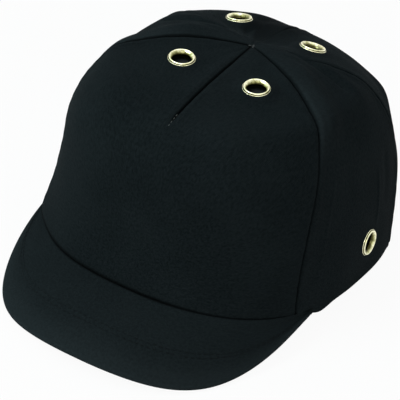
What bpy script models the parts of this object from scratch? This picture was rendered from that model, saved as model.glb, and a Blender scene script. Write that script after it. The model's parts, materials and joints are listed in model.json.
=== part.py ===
"""Bump cap: a five-panel cloth cap with a short peak over a vented hard inner shell.

The cap frame has the hem on z = 0, the face towards -Y and the wearer's left at +X.
An empty tips that frame back until the peak and the rear hem both rest on the floor.
"""
import math

import bmesh
import bpy
import numpy as np
from mathutils import Matrix, Vector

# ---------------------------------------------------------------- crown outline
HALF_WIDTH = 0.0935
FRONT_REACH = 0.1013
REAR_REACH = 0.1043
OUTLINE_POWER = 2.4
CROWN_HEIGHT = 0.1122
# Each profile: inward lean low down, shoulder height, shoulder reach and apex drop, as ratios.
FRONT_PROFILE = (0.066, 0.754, 1.341, 0.108)
SIDE_PROFILE = (0.076, 0.565, 1.038, -0.086)
REAR_PROFILE = (-0.006, 1.070, 0.321, 0.058)
FRONT_HEM_RISE = 0.0045
FRONT_FLARE = 0.0064
FLARE_FADE = 0.0144

# ---------------------------------------------------------------- cloth and seams
CLOTH = 0.0010
SEAM_GAP = 0.0004
FIT_GAP = 0.0003
CURVED_GAP = 0.0007
FRONT_SEAM_HEM = math.radians(53.2)
FRONT_SEAM_TOP = math.radians(67.0)
FRONT_SEAM_BEND = 2.2
SIDE_SEAM_HEM = math.radians(116.0)
SIDE_SEAM_TOP = math.radians(94.0)
SIDE_SEAM_BEND = 6.0
APEX_RISE = 0.992
HEM_RUN_OUT = 0.012
DART_RISE = 0.664
TAPE_WIDTH = 0.009
TAPE_THICK = 0.0007

# ---------------------------------------------------------------- eyelets
EYELET_SEATS = {
    "front_right": (math.radians(-33.5), 0.869),
    "front_left": (math.radians(33.5), 0.869),
    "rear_right": (math.radians(-140.2), 0.786),
    "rear_left": (math.radians(140.2), 0.786),
    "side_right": (math.radians(-91.3), 0.115),
    "side_left": (math.radians(91.3), 0.115),
}
EYELET_HOLE = 0.0048
EYELET_WALL = 0.0005
FLANGE_RADIUS = 0.0080
FLANGE_HEIGHT = 0.0014
WASHER_SINK = 0.0019
WASHER_THICK = 0.0006
CURL_RADIUS = 0.0066
ROUND_STEPS = 12
PUNCH_DEPTH = 0.02

# ---------------------------------------------------------------- peak
PEAK_HALF_ANGLE = math.radians(60.6)
PEAK_REACH = 0.0491
PEAK_POWER = 2.29
PEAK_TIP_DROP = 0.0191
PEAK_CORNER_DROP = 0.0213
PEAK_ARCH = 0.0030
PEAK_END = 0.97
PEAK_CLOTH = 0.0007
PEAK_LAYER_GAP = 0.0005
BOARD_THICK = 0.0018
BOARD_END = 0.92

# ---------------------------------------------------------------- hard inner shell
SHELL_DEPTH = 0.0046
SHELL_WALL = 0.0020
SHELL_RIM_RISE = 0.08
RIB_HEIGHT = 0.0014
RIB_HALF_ANGLE = math.radians(6.0)
RIB_ANGLES = (0.0, 60.0, 113.0, 180.0)
RIB_START = 0.14
RIB_END = 0.86
VENT_WIDTH = 0.007
LOWER_VENT_LENGTH = 0.022
UPPER_VENT_LENGTH = 0.028
LOWER_VENT_RISE = 0.35
UPPER_VENT_RISE = 0.61
LOWER_VENT_ANGLES = (20.0, 40.0, 78.0, 95.0, 134.0)
UPPER_VENT_ANGLES = (18.0, 38.0, 86.0, 138.0, 158.0)
SHELL_COLUMN_STEP = math.radians(8.5)
SHELL_ARCH_ANGLE = math.radians(31.0)
SHELL_ARCH_RISE = 0.21

# ---------------------------------------------------------------- foam pads
PAD_GAP = 0.0009
CROWN_PAD_THICK = 0.0070
CROWN_PAD_RISE = (0.725, 0.935)
SIDE_PAD_THICK = 0.0060
FRONT_PAD_SPAN = math.radians(44.0)
FRONT_PAD_RISE = (0.175, 0.265)
REAR_PAD_SPAN = math.radians(30.0)
REAR_PAD_RISE = (0.27, 0.38)

# ---------------------------------------------------------------- sweatband
BAND_END = math.radians(146.0)
BAND_THICK = 0.0020
BAND_TOP_RISE = 0.165
BAND_FOOT_RISE = 0.006

# ---------------------------------------------------------------- rear opening and straps
OPENING_ANGLE = math.radians(24.0)
OPENING_RISE = 0.16
BINDING_ANGLE = math.radians(5.0)
BINDING_RISE = 0.03
BINDING_THICK = 0.0008
STRAP_THICK = 0.0010
STRAP_RISE = (0.008, 0.076)
STRAP_ANCHOR = math.radians(7.5)
HINGE_INSET = math.radians(5.5)
HINGE_GAP = math.radians(0.4)
STRAP_LAP = math.radians(14.0)
STRAP_END_ROUND = math.radians(6.0)
TAPE_LAYER = 0.0008
FASTENER_MARGIN = 0.010
STRAP_STEP_IN = math.radians(7.0)

REAR = math.pi
DIFF = 1e-4

# Each seam: its angle at the hem, its angle at the apex, and how late it bends to the second.
FRONT_SEAM = (FRONT_SEAM_HEM, FRONT_SEAM_TOP, FRONT_SEAM_BEND)
SIDE_SEAM = (SIDE_SEAM_HEM, SIDE_SEAM_TOP, SIDE_SEAM_BEND)
REAR_SEAM = (REAR, REAR, 1.0)
DART = (0.0, 0.0, 1.0)


# ================================================================ crown surface
def blend(angle, index):
    """Mix one ratio of the front, side and rear profiles by the squares of cosine and sine."""
    cosine = np.cos(angle)
    front = np.where(cosine > 0, cosine**2, 0.0)
    rear = np.where(cosine < 0, cosine**2, 0.0)
    side = np.sin(angle) ** 2
    return FRONT_PROFILE[index] * front + SIDE_PROFILE[index] * side + REAR_PROFILE[index] * rear


def crown_base(angle, rise):
    """Point on the crown's outer face: angle from the front towards +X, rise 0 at hem to 1 at apex.

    The hem is a superellipse. Each meridian is a cubic Bezier curve from the hem to the apex.
    """
    angle, rise = np.broadcast_arrays(np.asarray(angle, float), np.asarray(rise, float))
    sine, cosine = np.sin(angle), np.cos(angle)
    reach = np.where(cosine > 0, FRONT_REACH, REAR_REACH)
    across = np.abs(sine / HALF_WIDTH) ** OUTLINE_POWER
    along = np.abs(cosine / reach) ** OUTLINE_POWER
    outline = (across + along) ** (-1.0 / OUTLINE_POWER)
    front = np.maximum(cosine, 0.0) ** 2
    hem = FRONT_HEM_RISE * front**2
    low = (1.0 - rise) ** 3
    mid_low = 3.0 * rise * (1.0 - rise) ** 2
    mid_high = 3.0 * rise**2 * (1.0 - rise)
    high = rise**3
    radius = outline * (low + mid_low * (1.0 - blend(angle, 0)) + mid_high * blend(angle, 2))
    top = mid_high * (1.0 - blend(angle, 3)) + high
    height = low * hem + CROWN_HEIGHT * (mid_low * blend(angle, 1) + top)
    radius = radius + FRONT_FLARE * front * np.exp(-(height - hem) / FLARE_FADE)
    return np.stack([radius * sine, -radius * cosine, height], -1)


def crown_normal(angle, rise):
    """Outward unit normal of the crown, by central differences."""
    rise = np.clip(rise, -1.0, 0.995)
    across = crown_base(angle + DIFF, rise) - crown_base(angle - DIFF, rise)
    upward = crown_base(angle, rise + DIFF) - crown_base(angle, rise - DIFF)
    normal = np.cross(across, upward)
    return normal / np.linalg.norm(normal, axis=-1, keepdims=True)


def crown_point(angle, rise, depth=0.0):
    """Point at a depth below the crown's outer face; a negative depth stands proud of it."""
    depth = np.asarray(depth, float)
    return crown_base(angle, rise) - crown_normal(angle, rise) * depth[..., None]


def crown_radius(angle, rise):
    """Horizontal distance of the crown's outer face from the cap's axis."""
    return np.linalg.norm(crown_base(angle, rise)[..., :2], axis=-1)


def seam_angle(seam, rise):
    """Angle of a seam, which leaves its hem angle slowly and bends to its angle at the apex."""
    hem, top, bend = seam
    return hem + (top - hem) * np.clip(rise, 0.0, 1.0) ** bend


def opposite(seam):
    """The same seam on the other side of the cap."""
    hem, top, bend = seam
    return -hem, -top, bend


# ================================================================ building helpers
def clear_scene():
    """Remove the objects that the file starts with."""
    for obj in list(bpy.data.objects):
        bpy.data.objects.remove(obj, do_unlink=True)


def new_collection(name):
    """Make a collection in the scene."""
    collection = bpy.data.collections.new(name)
    bpy.context.scene.collection.children.link(collection)
    return collection


def make_material(name, colour, roughness, metallic=0.0):
    """Make a Principled material."""
    material = bpy.data.materials.new(name)
    material.use_nodes = True
    shader = material.node_tree.nodes["Principled BSDF"]
    shader.inputs["Base Color"].default_value = (*colour, 1.0)
    shader.inputs["Roughness"].default_value = roughness
    shader.inputs["Metallic"].default_value = metallic
    return material


def add_mesh(name, points, faces, material, parent, edges=()):
    """Link a mesh object whose points are in the cap frame and whose parent is an empty."""
    mesh = bpy.data.meshes.new(name)
    mesh.from_pydata([tuple(point) for point in points], list(edges), faces)
    if faces:
        mesh.shade_smooth()
        mesh.set_sharp_from_angle(angle=math.radians(40.0))
    obj = bpy.data.objects.new(name, mesh)
    if material:
        mesh.materials.append(material)
    PARTS.objects.link(obj)
    hang_from(obj, parent)
    return obj


def hang_from(obj, parent, place=(0.0, 0.0, 0.0)):
    """Parent an object to an empty and put it at a place that is given in the cap frame."""
    obj.parent = parent
    offset = Vector(place)
    if parent is not CAP:
        offset -= parent.location
    obj.location = offset


def add_grid(name, grid, material, parent, wrap=False, pole=None, flip=False):
    """Surface through a grid of points; wrap closes its rows and pole closes its last row."""
    rows, columns = grid.shape[:2]
    points = list(grid.reshape(-1, 3))
    spans = columns if wrap else columns - 1
    faces = []
    for row in range(rows - 1):
        for column in range(spans):
            right = (column + 1) % columns
            low, high = row * columns, (row + 1) * columns
            faces.append((low + column, low + right, high + right, high + column))
    if pole is not None:
        points.append(pole)
        last = (rows - 1) * columns
        for column in range(spans):
            faces.append((last + column, last + (column + 1) % columns, len(points) - 1))
    if flip:
        faces = [face[::-1] for face in faces]
    return add_mesh(name, points, faces, material, parent)


def thicken(obj, thickness):
    """Give an open surface a wall on its inner side."""
    modifier = obj.modifiers.new("wall", "SOLIDIFY")
    modifier.thickness = thickness
    modifier.offset = -1.0
    return obj


def cut(obj, cutter):
    """Subtract a cutter."""
    modifier = obj.modifiers.new("cut", "BOOLEAN")
    modifier.operation = "DIFFERENCE"
    modifier.solver = "EXACT"
    modifier.object = cutter
    return obj


def make_cutter(obj):
    """Turn an object into a hidden cutter."""
    PARTS.objects.unlink(obj)
    CUTTERS.objects.link(obj)
    obj.hide_render = True
    obj.display_type = "WIRE"
    return obj


def crown_patch(name, angles, rises, depth, thickness, material, parent):
    """Slab that follows the crown: angles and rises are grids, depth is that of its outer face."""
    angles, rises = np.broadcast_arrays(angles, rises)
    grid = crown_point(angles, rises, np.broadcast_to(depth, angles.shape))
    return thicken(add_grid(name, grid, material, parent), thickness)


def crown_frame(angle, rise):
    """Matrix on the crown: X runs round it, Y up it and Z outwards."""
    origin = Vector(crown_base(angle, rise))
    outward = Vector(crown_normal(angle, rise))
    upward = Vector(crown_base(angle, rise + DIFF) - crown_base(angle, rise - DIFF)).normalized()
    across = upward.cross(outward).normalized()
    turn = Matrix((across, outward.cross(across), outward)).transposed()
    return Matrix.Translation(origin) @ turn.to_4x4()


# ================================================================ cloth crown
def panel(name, first, second, columns, rows, start):
    """Cloth panel between two seams, from the hem to the apex."""
    rise = np.linspace(start, APEX_RISE, rows)[:, None]
    share = np.linspace(0.0, 1.0, columns + 1)[None, :]
    low, high = seam_angle(first, rise), seam_angle(second, rise)
    margin_low = 0.5 * SEAM_GAP / crown_radius(low, rise)
    margin_high = 0.5 * SEAM_GAP / crown_radius(high, rise)
    angles = (low + margin_low) * (1.0 - share) + (high - margin_high) * share
    return crown_patch(name, angles, rise, 0.0, CLOTH, CLOTH_MATERIAL, CROWN)


def build_panels():
    """The wide front panel, the two side panels and the two rear panels."""
    panels = {"front_panel": panel("front_panel", opposite(FRONT_SEAM), FRONT_SEAM, 14, 13, 0.0)}
    spans = {
        "left_side_panel": (FRONT_SEAM, SIDE_SEAM, 9),
        "right_side_panel": (opposite(SIDE_SEAM), opposite(FRONT_SEAM), 9),
        "left_rear_panel": (SIDE_SEAM, REAR_SEAM, 9),
        "right_rear_panel": (opposite(REAR_SEAM), opposite(SIDE_SEAM), 9),
    }
    trimmer = hem_trimmer()
    for name, (first, second, columns) in spans.items():
        panels[name] = cut(panel(name, first, second, columns, 13, -HEM_RUN_OUT), trimmer)
    opening = arch_cutter("opening_cutter", OPENING_ANGLE, OPENING_RISE, CROWN)
    cut(panels["left_rear_panel"], opening)
    cut(panels["right_rear_panel"], opening)
    return panels


def hem_trimmer():
    """Block below z = 0 that leaves the hem flat."""
    reach = 3.0 * REAR_REACH
    depth = 0.02
    bpy.ops.mesh.primitive_cube_add(size=1.0)
    block = bpy.context.object
    block.name = "hem_trimmer"
    block.data.transform(Matrix.Diagonal((reach, reach, depth, 1.0)))
    block.data.transform(Matrix.Translation((0.0, 0.0, -0.5 * depth)))
    for collection in list(block.users_collection):
        collection.objects.unlink(block)
    PARTS.objects.link(block)
    hang_from(block, CROWN)
    return make_cutter(block)


def arch_cutter(name, half_angle, top_rise, parent):
    """Cutter in the form of a half-moon arch at the rear, through every layer."""
    proud, through, run_out = 0.006, 0.022, 0.05
    turn = np.linspace(0.0, math.pi, 17)
    angles = REAR - half_angle * np.cos(turn)
    tops = top_rise * np.sin(turn)
    share = np.array([0.0, 0.5, 1.0])[:, None]
    rises = -run_out * (1.0 - share) + tops[None, :] * share
    obj = crown_patch(name, angles[None, :], rises, -proud, proud + through, None, parent)
    return make_cutter(obj)


def seam_tape(name, seam, start, neighbour_angle):
    """Tape inside a seam; it stops where it would meet the tape at the neighbour's angle."""
    stations = np.linspace(0.5, APEX_RISE, 200)
    room = 2.0 * crown_radius(seam[1], stations) * math.sin(0.5 * neighbour_angle)
    stop = stations[room > TAPE_WIDTH + 2.0 * CURVED_GAP][-1]
    rise = np.linspace(start, stop, 11)[:, None]
    side = np.array([-0.5, 0.0, 0.5])[None, :]
    middle = seam_angle(seam, rise)
    angles = middle + side * TAPE_WIDTH / crown_radius(middle, rise)
    depth = CLOTH + CURVED_GAP
    return crown_patch(name, angles, rise, depth, TAPE_THICK, TAPE_MATERIAL, CROWN)


def build_tapes():
    """Tapes over the dart, the two front seams, the two side seams and the rear seam."""
    low = SHELL_RIM_RISE
    above_opening = OPENING_RISE + BINDING_RISE + 0.008
    close = SIDE_SEAM_TOP - FRONT_SEAM_TOP
    wide = FRONT_SEAM_TOP
    seam_tape("dart_tape", DART, DART_RISE, wide)
    seam_tape("left_front_seam_tape", FRONT_SEAM, low, wide)
    seam_tape("right_front_seam_tape", opposite(FRONT_SEAM), low, wide)
    seam_tape("left_side_seam_tape", SIDE_SEAM, low, close)
    seam_tape("right_side_seam_tape", opposite(SIDE_SEAM), low, close)
    seam_tape("rear_seam_tape", REAR_SEAM, above_opening, REAR - SIDE_SEAM_TOP)


# ================================================================ eyelets
def revolve(name, profile, material, parent, matrix):
    """Closed profile of (radius, height) points, turned about the object's own Z axis."""
    points = [(radius, 0.0, height) for radius, height in profile]
    edges = [(index, (index + 1) % len(points)) for index in range(len(points))]
    obj = add_mesh(name, points, [], material, parent, edges)
    screw = obj.modifiers.new("turn", "SCREW")
    screw.axis = "Z"
    screw.steps = ROUND_STEPS
    screw.render_steps = ROUND_STEPS
    screw.use_merge_vertices = True
    screw.merge_threshold = 0.00001
    hang_from(obj, parent, matrix.translation)
    obj.rotation_euler = matrix.to_euler()
    return obj


def eyelet_profile():
    """Rolled flange, barrel through the cloth and the curl that holds the washer."""
    outer = EYELET_HOLE + EYELET_WALL
    seat = 0.0001
    curl_top = -(WASHER_SINK + WASHER_THICK + 0.0002)
    curl_foot = curl_top - EYELET_WALL
    crest = 0.5 * (EYELET_HOLE + FLANGE_RADIUS)
    return [
        (EYELET_HOLE, 0.65 * FLANGE_HEIGHT),
        (crest - 0.0007, FLANGE_HEIGHT),
        (crest + 0.0006, FLANGE_HEIGHT),
        (FLANGE_RADIUS, 0.55 * FLANGE_HEIGHT),
        (FLANGE_RADIUS - 0.0002, seat),
        (outer, seat),
        (outer, curl_top),
        (CURL_RADIUS, curl_top),
        (CURL_RADIUS, curl_foot),
        (EYELET_HOLE, curl_foot),
    ]


def washer_profile():
    """Flat ring that backs the cloth inside the cap."""
    bore = EYELET_HOLE + EYELET_WALL + FIT_GAP
    rim = FLANGE_RADIUS - 0.0004
    top = -WASHER_SINK
    foot = top - WASHER_THICK
    return [(bore, top), (rim, top), (rim, foot), (bore, foot)]


def build_eyelets(panels):
    """Six eyelets with their washers, and the holes that they pass through."""
    homes = {
        "front_right": "front_panel",
        "front_left": "front_panel",
        "rear_right": "right_rear_panel",
        "rear_left": "left_rear_panel",
        "side_right": "right_side_panel",
        "side_left": "left_side_panel",
    }
    for place, (angle, rise) in EYELET_SEATS.items():
        matrix = crown_frame(angle, rise)
        revolve(f"{place}_eyelet", eyelet_profile(), BRASS_MATERIAL, CROWN, matrix)
        revolve(f"{place}_eyelet_washer", washer_profile(), BRASS_MATERIAL, CROWN, matrix)
        hole = EYELET_HOLE + EYELET_WALL + FIT_GAP
        bpy.ops.mesh.primitive_cylinder_add(vertices=ROUND_STEPS, radius=hole, depth=PUNCH_DEPTH)
        punch = bpy.context.object
        punch.name = f"{place}_punch"
        for collection in list(punch.users_collection):
            collection.objects.unlink(punch)
        PARTS.objects.link(punch)
        hang_from(punch, CROWN, matrix.translation)
        punch.rotation_euler = matrix.to_euler()
        cut(panels[homes[place]], make_cutter(punch))


# ================================================================ peak
def peak_thickness():
    """Whole thickness of the peak: the board between two layers of cloth."""
    return BOARD_THICK + 2.0 * (PEAK_CLOTH + PEAK_LAYER_GAP)


def peak_top(across, out):
    """Upper face of the peak: across runs -1 to 1 round it, out runs 0 at the hem to 1 at its edge."""
    across, out = np.broadcast_arrays(np.asarray(across, float), np.asarray(out, float))
    inner = crown_point(across * PEAK_HALF_ANGLE, 0.0 * across, CLOTH + 0.0 * across)
    inner[..., 2] -= FIT_GAP
    end = crown_base(PEAK_HALF_ANGLE, 0.0)
    front = crown_base(0.0, 0.0)
    turn = across * 0.5 * math.pi
    power = 2.0 / PEAK_POWER
    sideways = np.sign(turn) * np.abs(np.sin(turn)) ** power
    forward = np.abs(np.cos(turn)) ** power
    corner = np.sin(np.clip(2.0 * (1.0 - np.abs(across)), 0.0, 1.0) * 0.5 * math.pi)
    middle = np.cos(np.clip(2.0 * np.abs(across), 0.0, 1.0) * 0.5 * math.pi) ** 2
    tip_height = front[2] - PEAK_TIP_DROP
    height = end[2] - (PEAK_CORNER_DROP + end[2]) * corner + (tip_height + PEAK_CORNER_DROP) * middle
    outer_x = end[0] * sideways
    outer_y = end[1] + (front[1] - PEAK_REACH - end[1]) * forward
    outer = np.stack([outer_x, outer_y, height], -1)
    point = inner * (1.0 - out[..., None]) + outer * out[..., None]
    point[..., 2] += PEAK_ARCH * np.sin(math.pi * out) * (1.0 - across**2)
    return point


def peak_axes(across, out):
    """Upward normal of the peak and the direction out over its edge."""
    along = peak_top(across + DIFF, out) - peak_top(across - DIFF, out)
    outward = peak_top(across, out + DIFF) - peak_top(across, out - DIFF)
    normal = np.cross(outward, along)
    normal /= np.linalg.norm(normal, axis=-1, keepdims=True)
    edge = np.cross(along, normal)
    edge /= np.linalg.norm(edge, axis=-1, keepdims=True)
    return normal, edge


def peak_rows(limit, columns, rows):
    """Rows of the peak's upper face, held back from the edge by the radius of the rolled edge."""
    across = np.linspace(-limit, limit, columns + 1)[None, :]
    out = np.linspace(0.0, 1.0, rows + 1)[:, None]
    normal, edge = peak_axes(across, out)
    back = 0.5 * peak_thickness() * out[..., None]
    return peak_top(across, out) - edge * back, normal, edge


def peak_cover(name, sign):
    """Cloth over one face of the peak, rolled round the edge to the middle of the board."""
    face, normal, edge = peak_rows(PEAK_END, 24, 4)
    radius = 0.5 * peak_thickness()
    middle = face - normal * radius
    seam = 0.5 * CURVED_GAP / radius
    rows = [middle[row] + sign * normal[row] * radius for row in range(len(face))]
    for angle in np.linspace(0.0, 0.5 * math.pi - seam, 5)[1:]:
        lift = sign * math.cos(angle) * normal[-1]
        rows.append(middle[-1] + radius * (lift + math.sin(angle) * edge[-1]))
    obj = add_grid(name, np.array(rows), CLOTH_MATERIAL, CROWN, flip=sign > 0)
    return thicken(obj, PEAK_CLOTH)


def build_peak():
    """The stiff board and the cloth above and below it."""
    face, normal, edge = peak_rows(BOARD_END, 24, 4)
    board = face - normal * (PEAK_CLOTH + PEAK_LAYER_GAP)
    thicken(add_grid("peak_board", board, BOARD_MATERIAL, CROWN, flip=True), BOARD_THICK)
    peak_cover("peak_upper_cover", 1.0)
    peak_cover("peak_under_cover", -1.0)


# ================================================================ hard inner shell
def ramp(value, low, high):
    """Smooth step from 0 at low to 1 at high."""
    share = np.clip((value - low) / (high - low), 0.0, 1.0)
    return share * share * (3.0 - 2.0 * share)


def mirrored(angles_deg):
    """Angles in radians on both sides of the cap, without repeating the middle and the rear."""
    angles = {round(angle, 6) for angle in angles_deg}
    angles |= {round(-angle, 6) for angle in angles_deg if 0.0 < angle < 180.0}
    return [math.radians(angle) for angle in sorted(angles)]


def shell_columns():
    """Column angles: five across each rib and an even spread between the ribs."""
    columns = set()
    ribs = mirrored(RIB_ANGLES)
    for rib in ribs:
        columns |= {rib + RIB_HALF_ANGLE * step for step in (-1.0, -0.5, 0.0, 0.5, 1.0)}
    ends = sorted(ribs)
    ends.append(ends[0] + 2.0 * math.pi)
    for start, stop in zip(ends, ends[1:]):
        low, high = start + RIB_HALF_ANGLE, stop - RIB_HALF_ANGLE
        spans = max(2, round((high - low) / SHELL_COLUMN_STEP))
        columns |= set(np.linspace(low, high, spans + 1)[1:-1])
    turned = {round(angle % (2.0 * math.pi), 9) for angle in columns}
    return np.array(sorted(turned))


def shell_depth(angles, rises):
    """Depth of the shell's outer face, with a raised rib along some of its meridians."""
    crest = np.zeros(np.broadcast(angles, rises).shape)
    for rib in mirrored(RIB_ANGLES):
        apart = np.abs((angles - rib + math.pi) % (2.0 * math.pi) - math.pi)
        crest = np.maximum(crest, 0.5 + 0.5 * np.cos(math.pi * np.clip(apart / RIB_HALF_ANGLE, 0.0, 1.0)))
    window = ramp(rises, RIB_START, RIB_START + 0.07) * (1.0 - ramp(rises, RIB_END - 0.07, RIB_END))
    return SHELL_DEPTH - RIB_HEIGHT * crest * window


def stadium(width, length, matrix, bm):
    """Add a round-ended slot cutter, from above the shell to below it, to a bmesh."""
    top = 0.3 * SHELL_DEPTH
    foot = SHELL_DEPTH + 2.0 * SHELL_WALL + 0.002
    radius = 0.5 * width
    straight = 0.5 * length - radius
    outline = []
    for end in (1.0, -1.0):
        for step in range(5):
            turn = math.pi * step / 4 + (0.0 if end > 0 else math.pi)
            outline.append((radius * math.cos(turn), end * straight + radius * math.sin(turn)))
    low = [bm.verts.new(matrix @ Vector((x, y, -foot))) for x, y in outline]
    high = [bm.verts.new(matrix @ Vector((x, y, -top))) for x, y in outline]
    bm.faces.new(low[::-1])
    bm.faces.new(high)
    for index in range(len(outline)):
        after = (index + 1) % len(outline)
        bm.faces.new((low[index], low[after], high[after], high[index]))


def vent_cutter(name, angles, rise, length):
    """One row of the shell's vent slots as a cutter."""
    bm = bmesh.new()
    for angle in mirrored(angles):
        stadium(VENT_WIDTH, length, crown_frame(angle, rise), bm)
    mesh = bpy.data.meshes.new(name)
    bm.to_mesh(mesh)
    bm.free()
    obj = bpy.data.objects.new(name, mesh)
    PARTS.objects.link(obj)
    hang_from(obj, CAP)
    return make_cutter(obj)


def build_shell():
    """Moulded dome with raised ribs, vent slots and an arch that clears the rear opening."""
    angles = shell_columns()[None, :]
    rises = np.linspace(SHELL_RIM_RISE, 0.965, 12)[:, None]
    angles, rises = np.broadcast_arrays(angles, rises)
    grid = crown_point(angles, rises, shell_depth(angles, rises))
    pole = (0.0, 0.0, CROWN_HEIGHT - SHELL_DEPTH)
    shell = thicken(add_grid("inner_shell", grid, SHELL_MATERIAL, CAP, wrap=True, pole=pole), SHELL_WALL)
    cut(shell, vent_cutter("lower_vent_cutter", LOWER_VENT_ANGLES, LOWER_VENT_RISE, LOWER_VENT_LENGTH))
    cut(shell, vent_cutter("upper_vent_cutter", UPPER_VENT_ANGLES, UPPER_VENT_RISE, UPPER_VENT_LENGTH))
    cut(shell, arch_cutter("shell_arch_cutter", SHELL_ARCH_ANGLE, SHELL_ARCH_RISE, CAP))


# ================================================================ foam pads and sweatband
def build_pads():
    """Foam pads glued inside the shell: a ring under the crown, a brow pad and a nape pad."""
    depth = SHELL_DEPTH + SHELL_WALL + PAD_GAP
    turn = np.linspace(0.0, 2.0 * math.pi, 25)[:-1][None, :]
    rise = np.linspace(*CROWN_PAD_RISE, 4)[:, None]
    angles, rises = np.broadcast_arrays(turn, rise)
    grid = crown_point(angles, rises, depth + 0.0 * angles)
    ring = add_grid("crown_foam_pad", grid, FOAM_MATERIAL, CAP, wrap=True)
    thicken(ring, CROWN_PAD_THICK)
    pads = {
        "brow_foam_pad": (0.0, FRONT_PAD_SPAN, FRONT_PAD_RISE),
        "nape_foam_pad": (REAR, REAR_PAD_SPAN, REAR_PAD_RISE),
    }
    for name, (middle, span, limits) in pads.items():
        turn = middle + np.linspace(-span, span, 11)[None, :]
        rise = np.linspace(*limits, 4)[:, None]
        crown_patch(name, turn, rise, depth, SIDE_PAD_THICK, FOAM_MATERIAL, CAP)


def build_sweatband():
    """Sweatband sewn at the hem, leaning in to pass inside the shell's rim."""
    turn = np.linspace(-BAND_END, BAND_END, 33)[None, :]
    inner = SHELL_DEPTH + SHELL_WALL + PAD_GAP
    foot = CLOTH + PAD_GAP
    neck = SHELL_RIM_RISE - 0.012
    rises = np.array([BAND_FOOT_RISE, 0.5 * (BAND_FOOT_RISE + neck), neck, BAND_TOP_RISE])[:, None]
    depth = np.array([foot, 0.5 * (foot + inner), inner, inner])[:, None]
    crown_patch("sweatband", turn, rises, depth, BAND_THICK, BAND_MATERIAL, CROWN)


# ================================================================ rear opening and straps
def build_binding():
    """Facing sewn round the inside of the rear opening."""
    turn = np.linspace(math.radians(4.0), math.radians(176.0), 19)[None, :]
    share = np.linspace(0.0, 1.0, 3)[:, None]
    angles = REAR - (OPENING_ANGLE + BINDING_ANGLE * share) * np.cos(turn)
    rises = (OPENING_RISE + BINDING_RISE * share) * np.sin(turn)
    depth = CLOTH + CURVED_GAP
    crown_patch("opening_binding", angles, rises, depth, BINDING_THICK, TAPE_MATERIAL, CROWN)


def strap_layers():
    """Depths of the outer faces of the stacked straps and fasteners, from the inside out."""
    depth = {"loop_strap": CLOTH + CURVED_GAP + BINDING_THICK + FIT_GAP}
    depth["loop_tape"] = depth["loop_strap"] - FIT_GAP - TAPE_LAYER
    depth["hook_tape"] = depth["loop_tape"] - FIT_GAP - TAPE_LAYER
    depth["hook_strap"] = depth["hook_tape"] - FIT_GAP - STRAP_THICK
    return depth


def strap_rises(angles, tip, direction):
    """Lower and upper rise of a strap, drawn in to a round end at its tip."""
    middle = 0.5 * (STRAP_RISE[0] + STRAP_RISE[1])
    half = 0.5 * (STRAP_RISE[1] - STRAP_RISE[0])
    left = np.clip(direction * (tip - angles) / STRAP_END_ROUND, 0.0, 1.0)
    shape = np.sqrt(np.clip(1.0 - (1.0 - left) ** 2, 0.08, 1.0))
    return middle - half * shape, middle + half * shape


def strap(name, start, tip, depth, material, parent, thickness, margin=0.0):
    """Strap along the rear hem from its start angle to its rounded tip; margin narrows it."""
    direction = math.copysign(1.0, tip - start)
    shares = np.concatenate([np.linspace(0.0, 0.8, 13), [0.87, 0.93, 0.97, 1.0]])
    angles = start + (tip - start) * shares
    low, high = strap_rises(angles, tip, direction)
    share = np.linspace(0.0, 1.0, 3)[:, None]
    rises = (low + margin) * (1.0 - share) + (high - margin) * share
    depths = depth(angles) if callable(depth) else depth
    if direction < 0:
        angles, rises = angles[::-1], rises[:, ::-1]
        depths = depths[::-1] if np.ndim(depths) else depths
    return crown_patch(name, angles[None, :], rises, depths, thickness, material, parent)


def build_straps():
    """Hook strap that peels open, and the loop strap that it closes on."""
    layers = strap_layers()
    edge = REAR - OPENING_ANGLE
    hinge = edge + HINGE_INSET
    hook_tip = REAR + STRAP_LAP
    loop_tip = REAR - STRAP_LAP
    loop_root = REAR + OPENING_ANGLE + STRAP_ANCHOR
    start = hinge + HINGE_GAP

    def hook_depth(angles):
        step = ramp(angles, start, start + STRAP_STEP_IN)
        return layers["loop_strap"] * (1.0 - step) + layers["hook_strap"] * step

    anchor = np.linspace(edge - STRAP_ANCHOR, hinge - HINGE_GAP, 6)[None, :]
    rises = np.linspace(*STRAP_RISE, 3)[:, None]
    crown_patch("hook_strap_anchor", anchor, rises, layers["loop_strap"], STRAP_THICK, STRAP_MATERIAL, CROWN)
    strap("hook_strap", start, hook_tip, hook_depth, STRAP_MATERIAL, HOOK, STRAP_THICK)
    strap("loop_strap", loop_root, loop_tip, layers["loop_strap"], STRAP_MATERIAL, CROWN, STRAP_THICK)
    tape_start = REAR - STRAP_LAP + math.radians(5.0)
    inset = math.radians(1.0)
    tape_end = hook_tip - inset
    strap("hook_tape", tape_start, tape_end, layers["hook_tape"], HOOK_MATERIAL, HOOK, TAPE_LAYER, FASTENER_MARGIN)
    loop_start = REAR + OPENING_ANGLE - math.radians(4.0)
    loop_end = loop_tip + inset
    strap("loop_tape", loop_start, loop_end, layers["loop_tape"], LOOP_MATERIAL, CROWN, TAPE_LAYER, FASTENER_MARGIN)


def hinge_place():
    """Point on the line where the hook strap bends when it is peeled open."""
    angle = REAR - OPENING_ANGLE + HINGE_INSET
    rise = 0.5 * (STRAP_RISE[0] + STRAP_RISE[1])
    depth = strap_layers()["loop_strap"] + 0.5 * STRAP_THICK
    return Vector(crown_point(angle, rise, depth))


# ================================================================ standing on the floor
def part_points():
    """Every point of the finished parts, in the cap frame."""
    bpy.context.view_layer.update()
    graph = bpy.context.evaluated_depsgraph_get()
    to_cap = CAP.matrix_world.inverted()
    points = []
    for obj in PARTS.objects:
        mesh = obj.evaluated_get(graph).to_mesh()
        matrix = to_cap @ obj.matrix_world
        points += [matrix @ vertex.co for vertex in mesh.vertices]
    return np.array(points)


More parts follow.
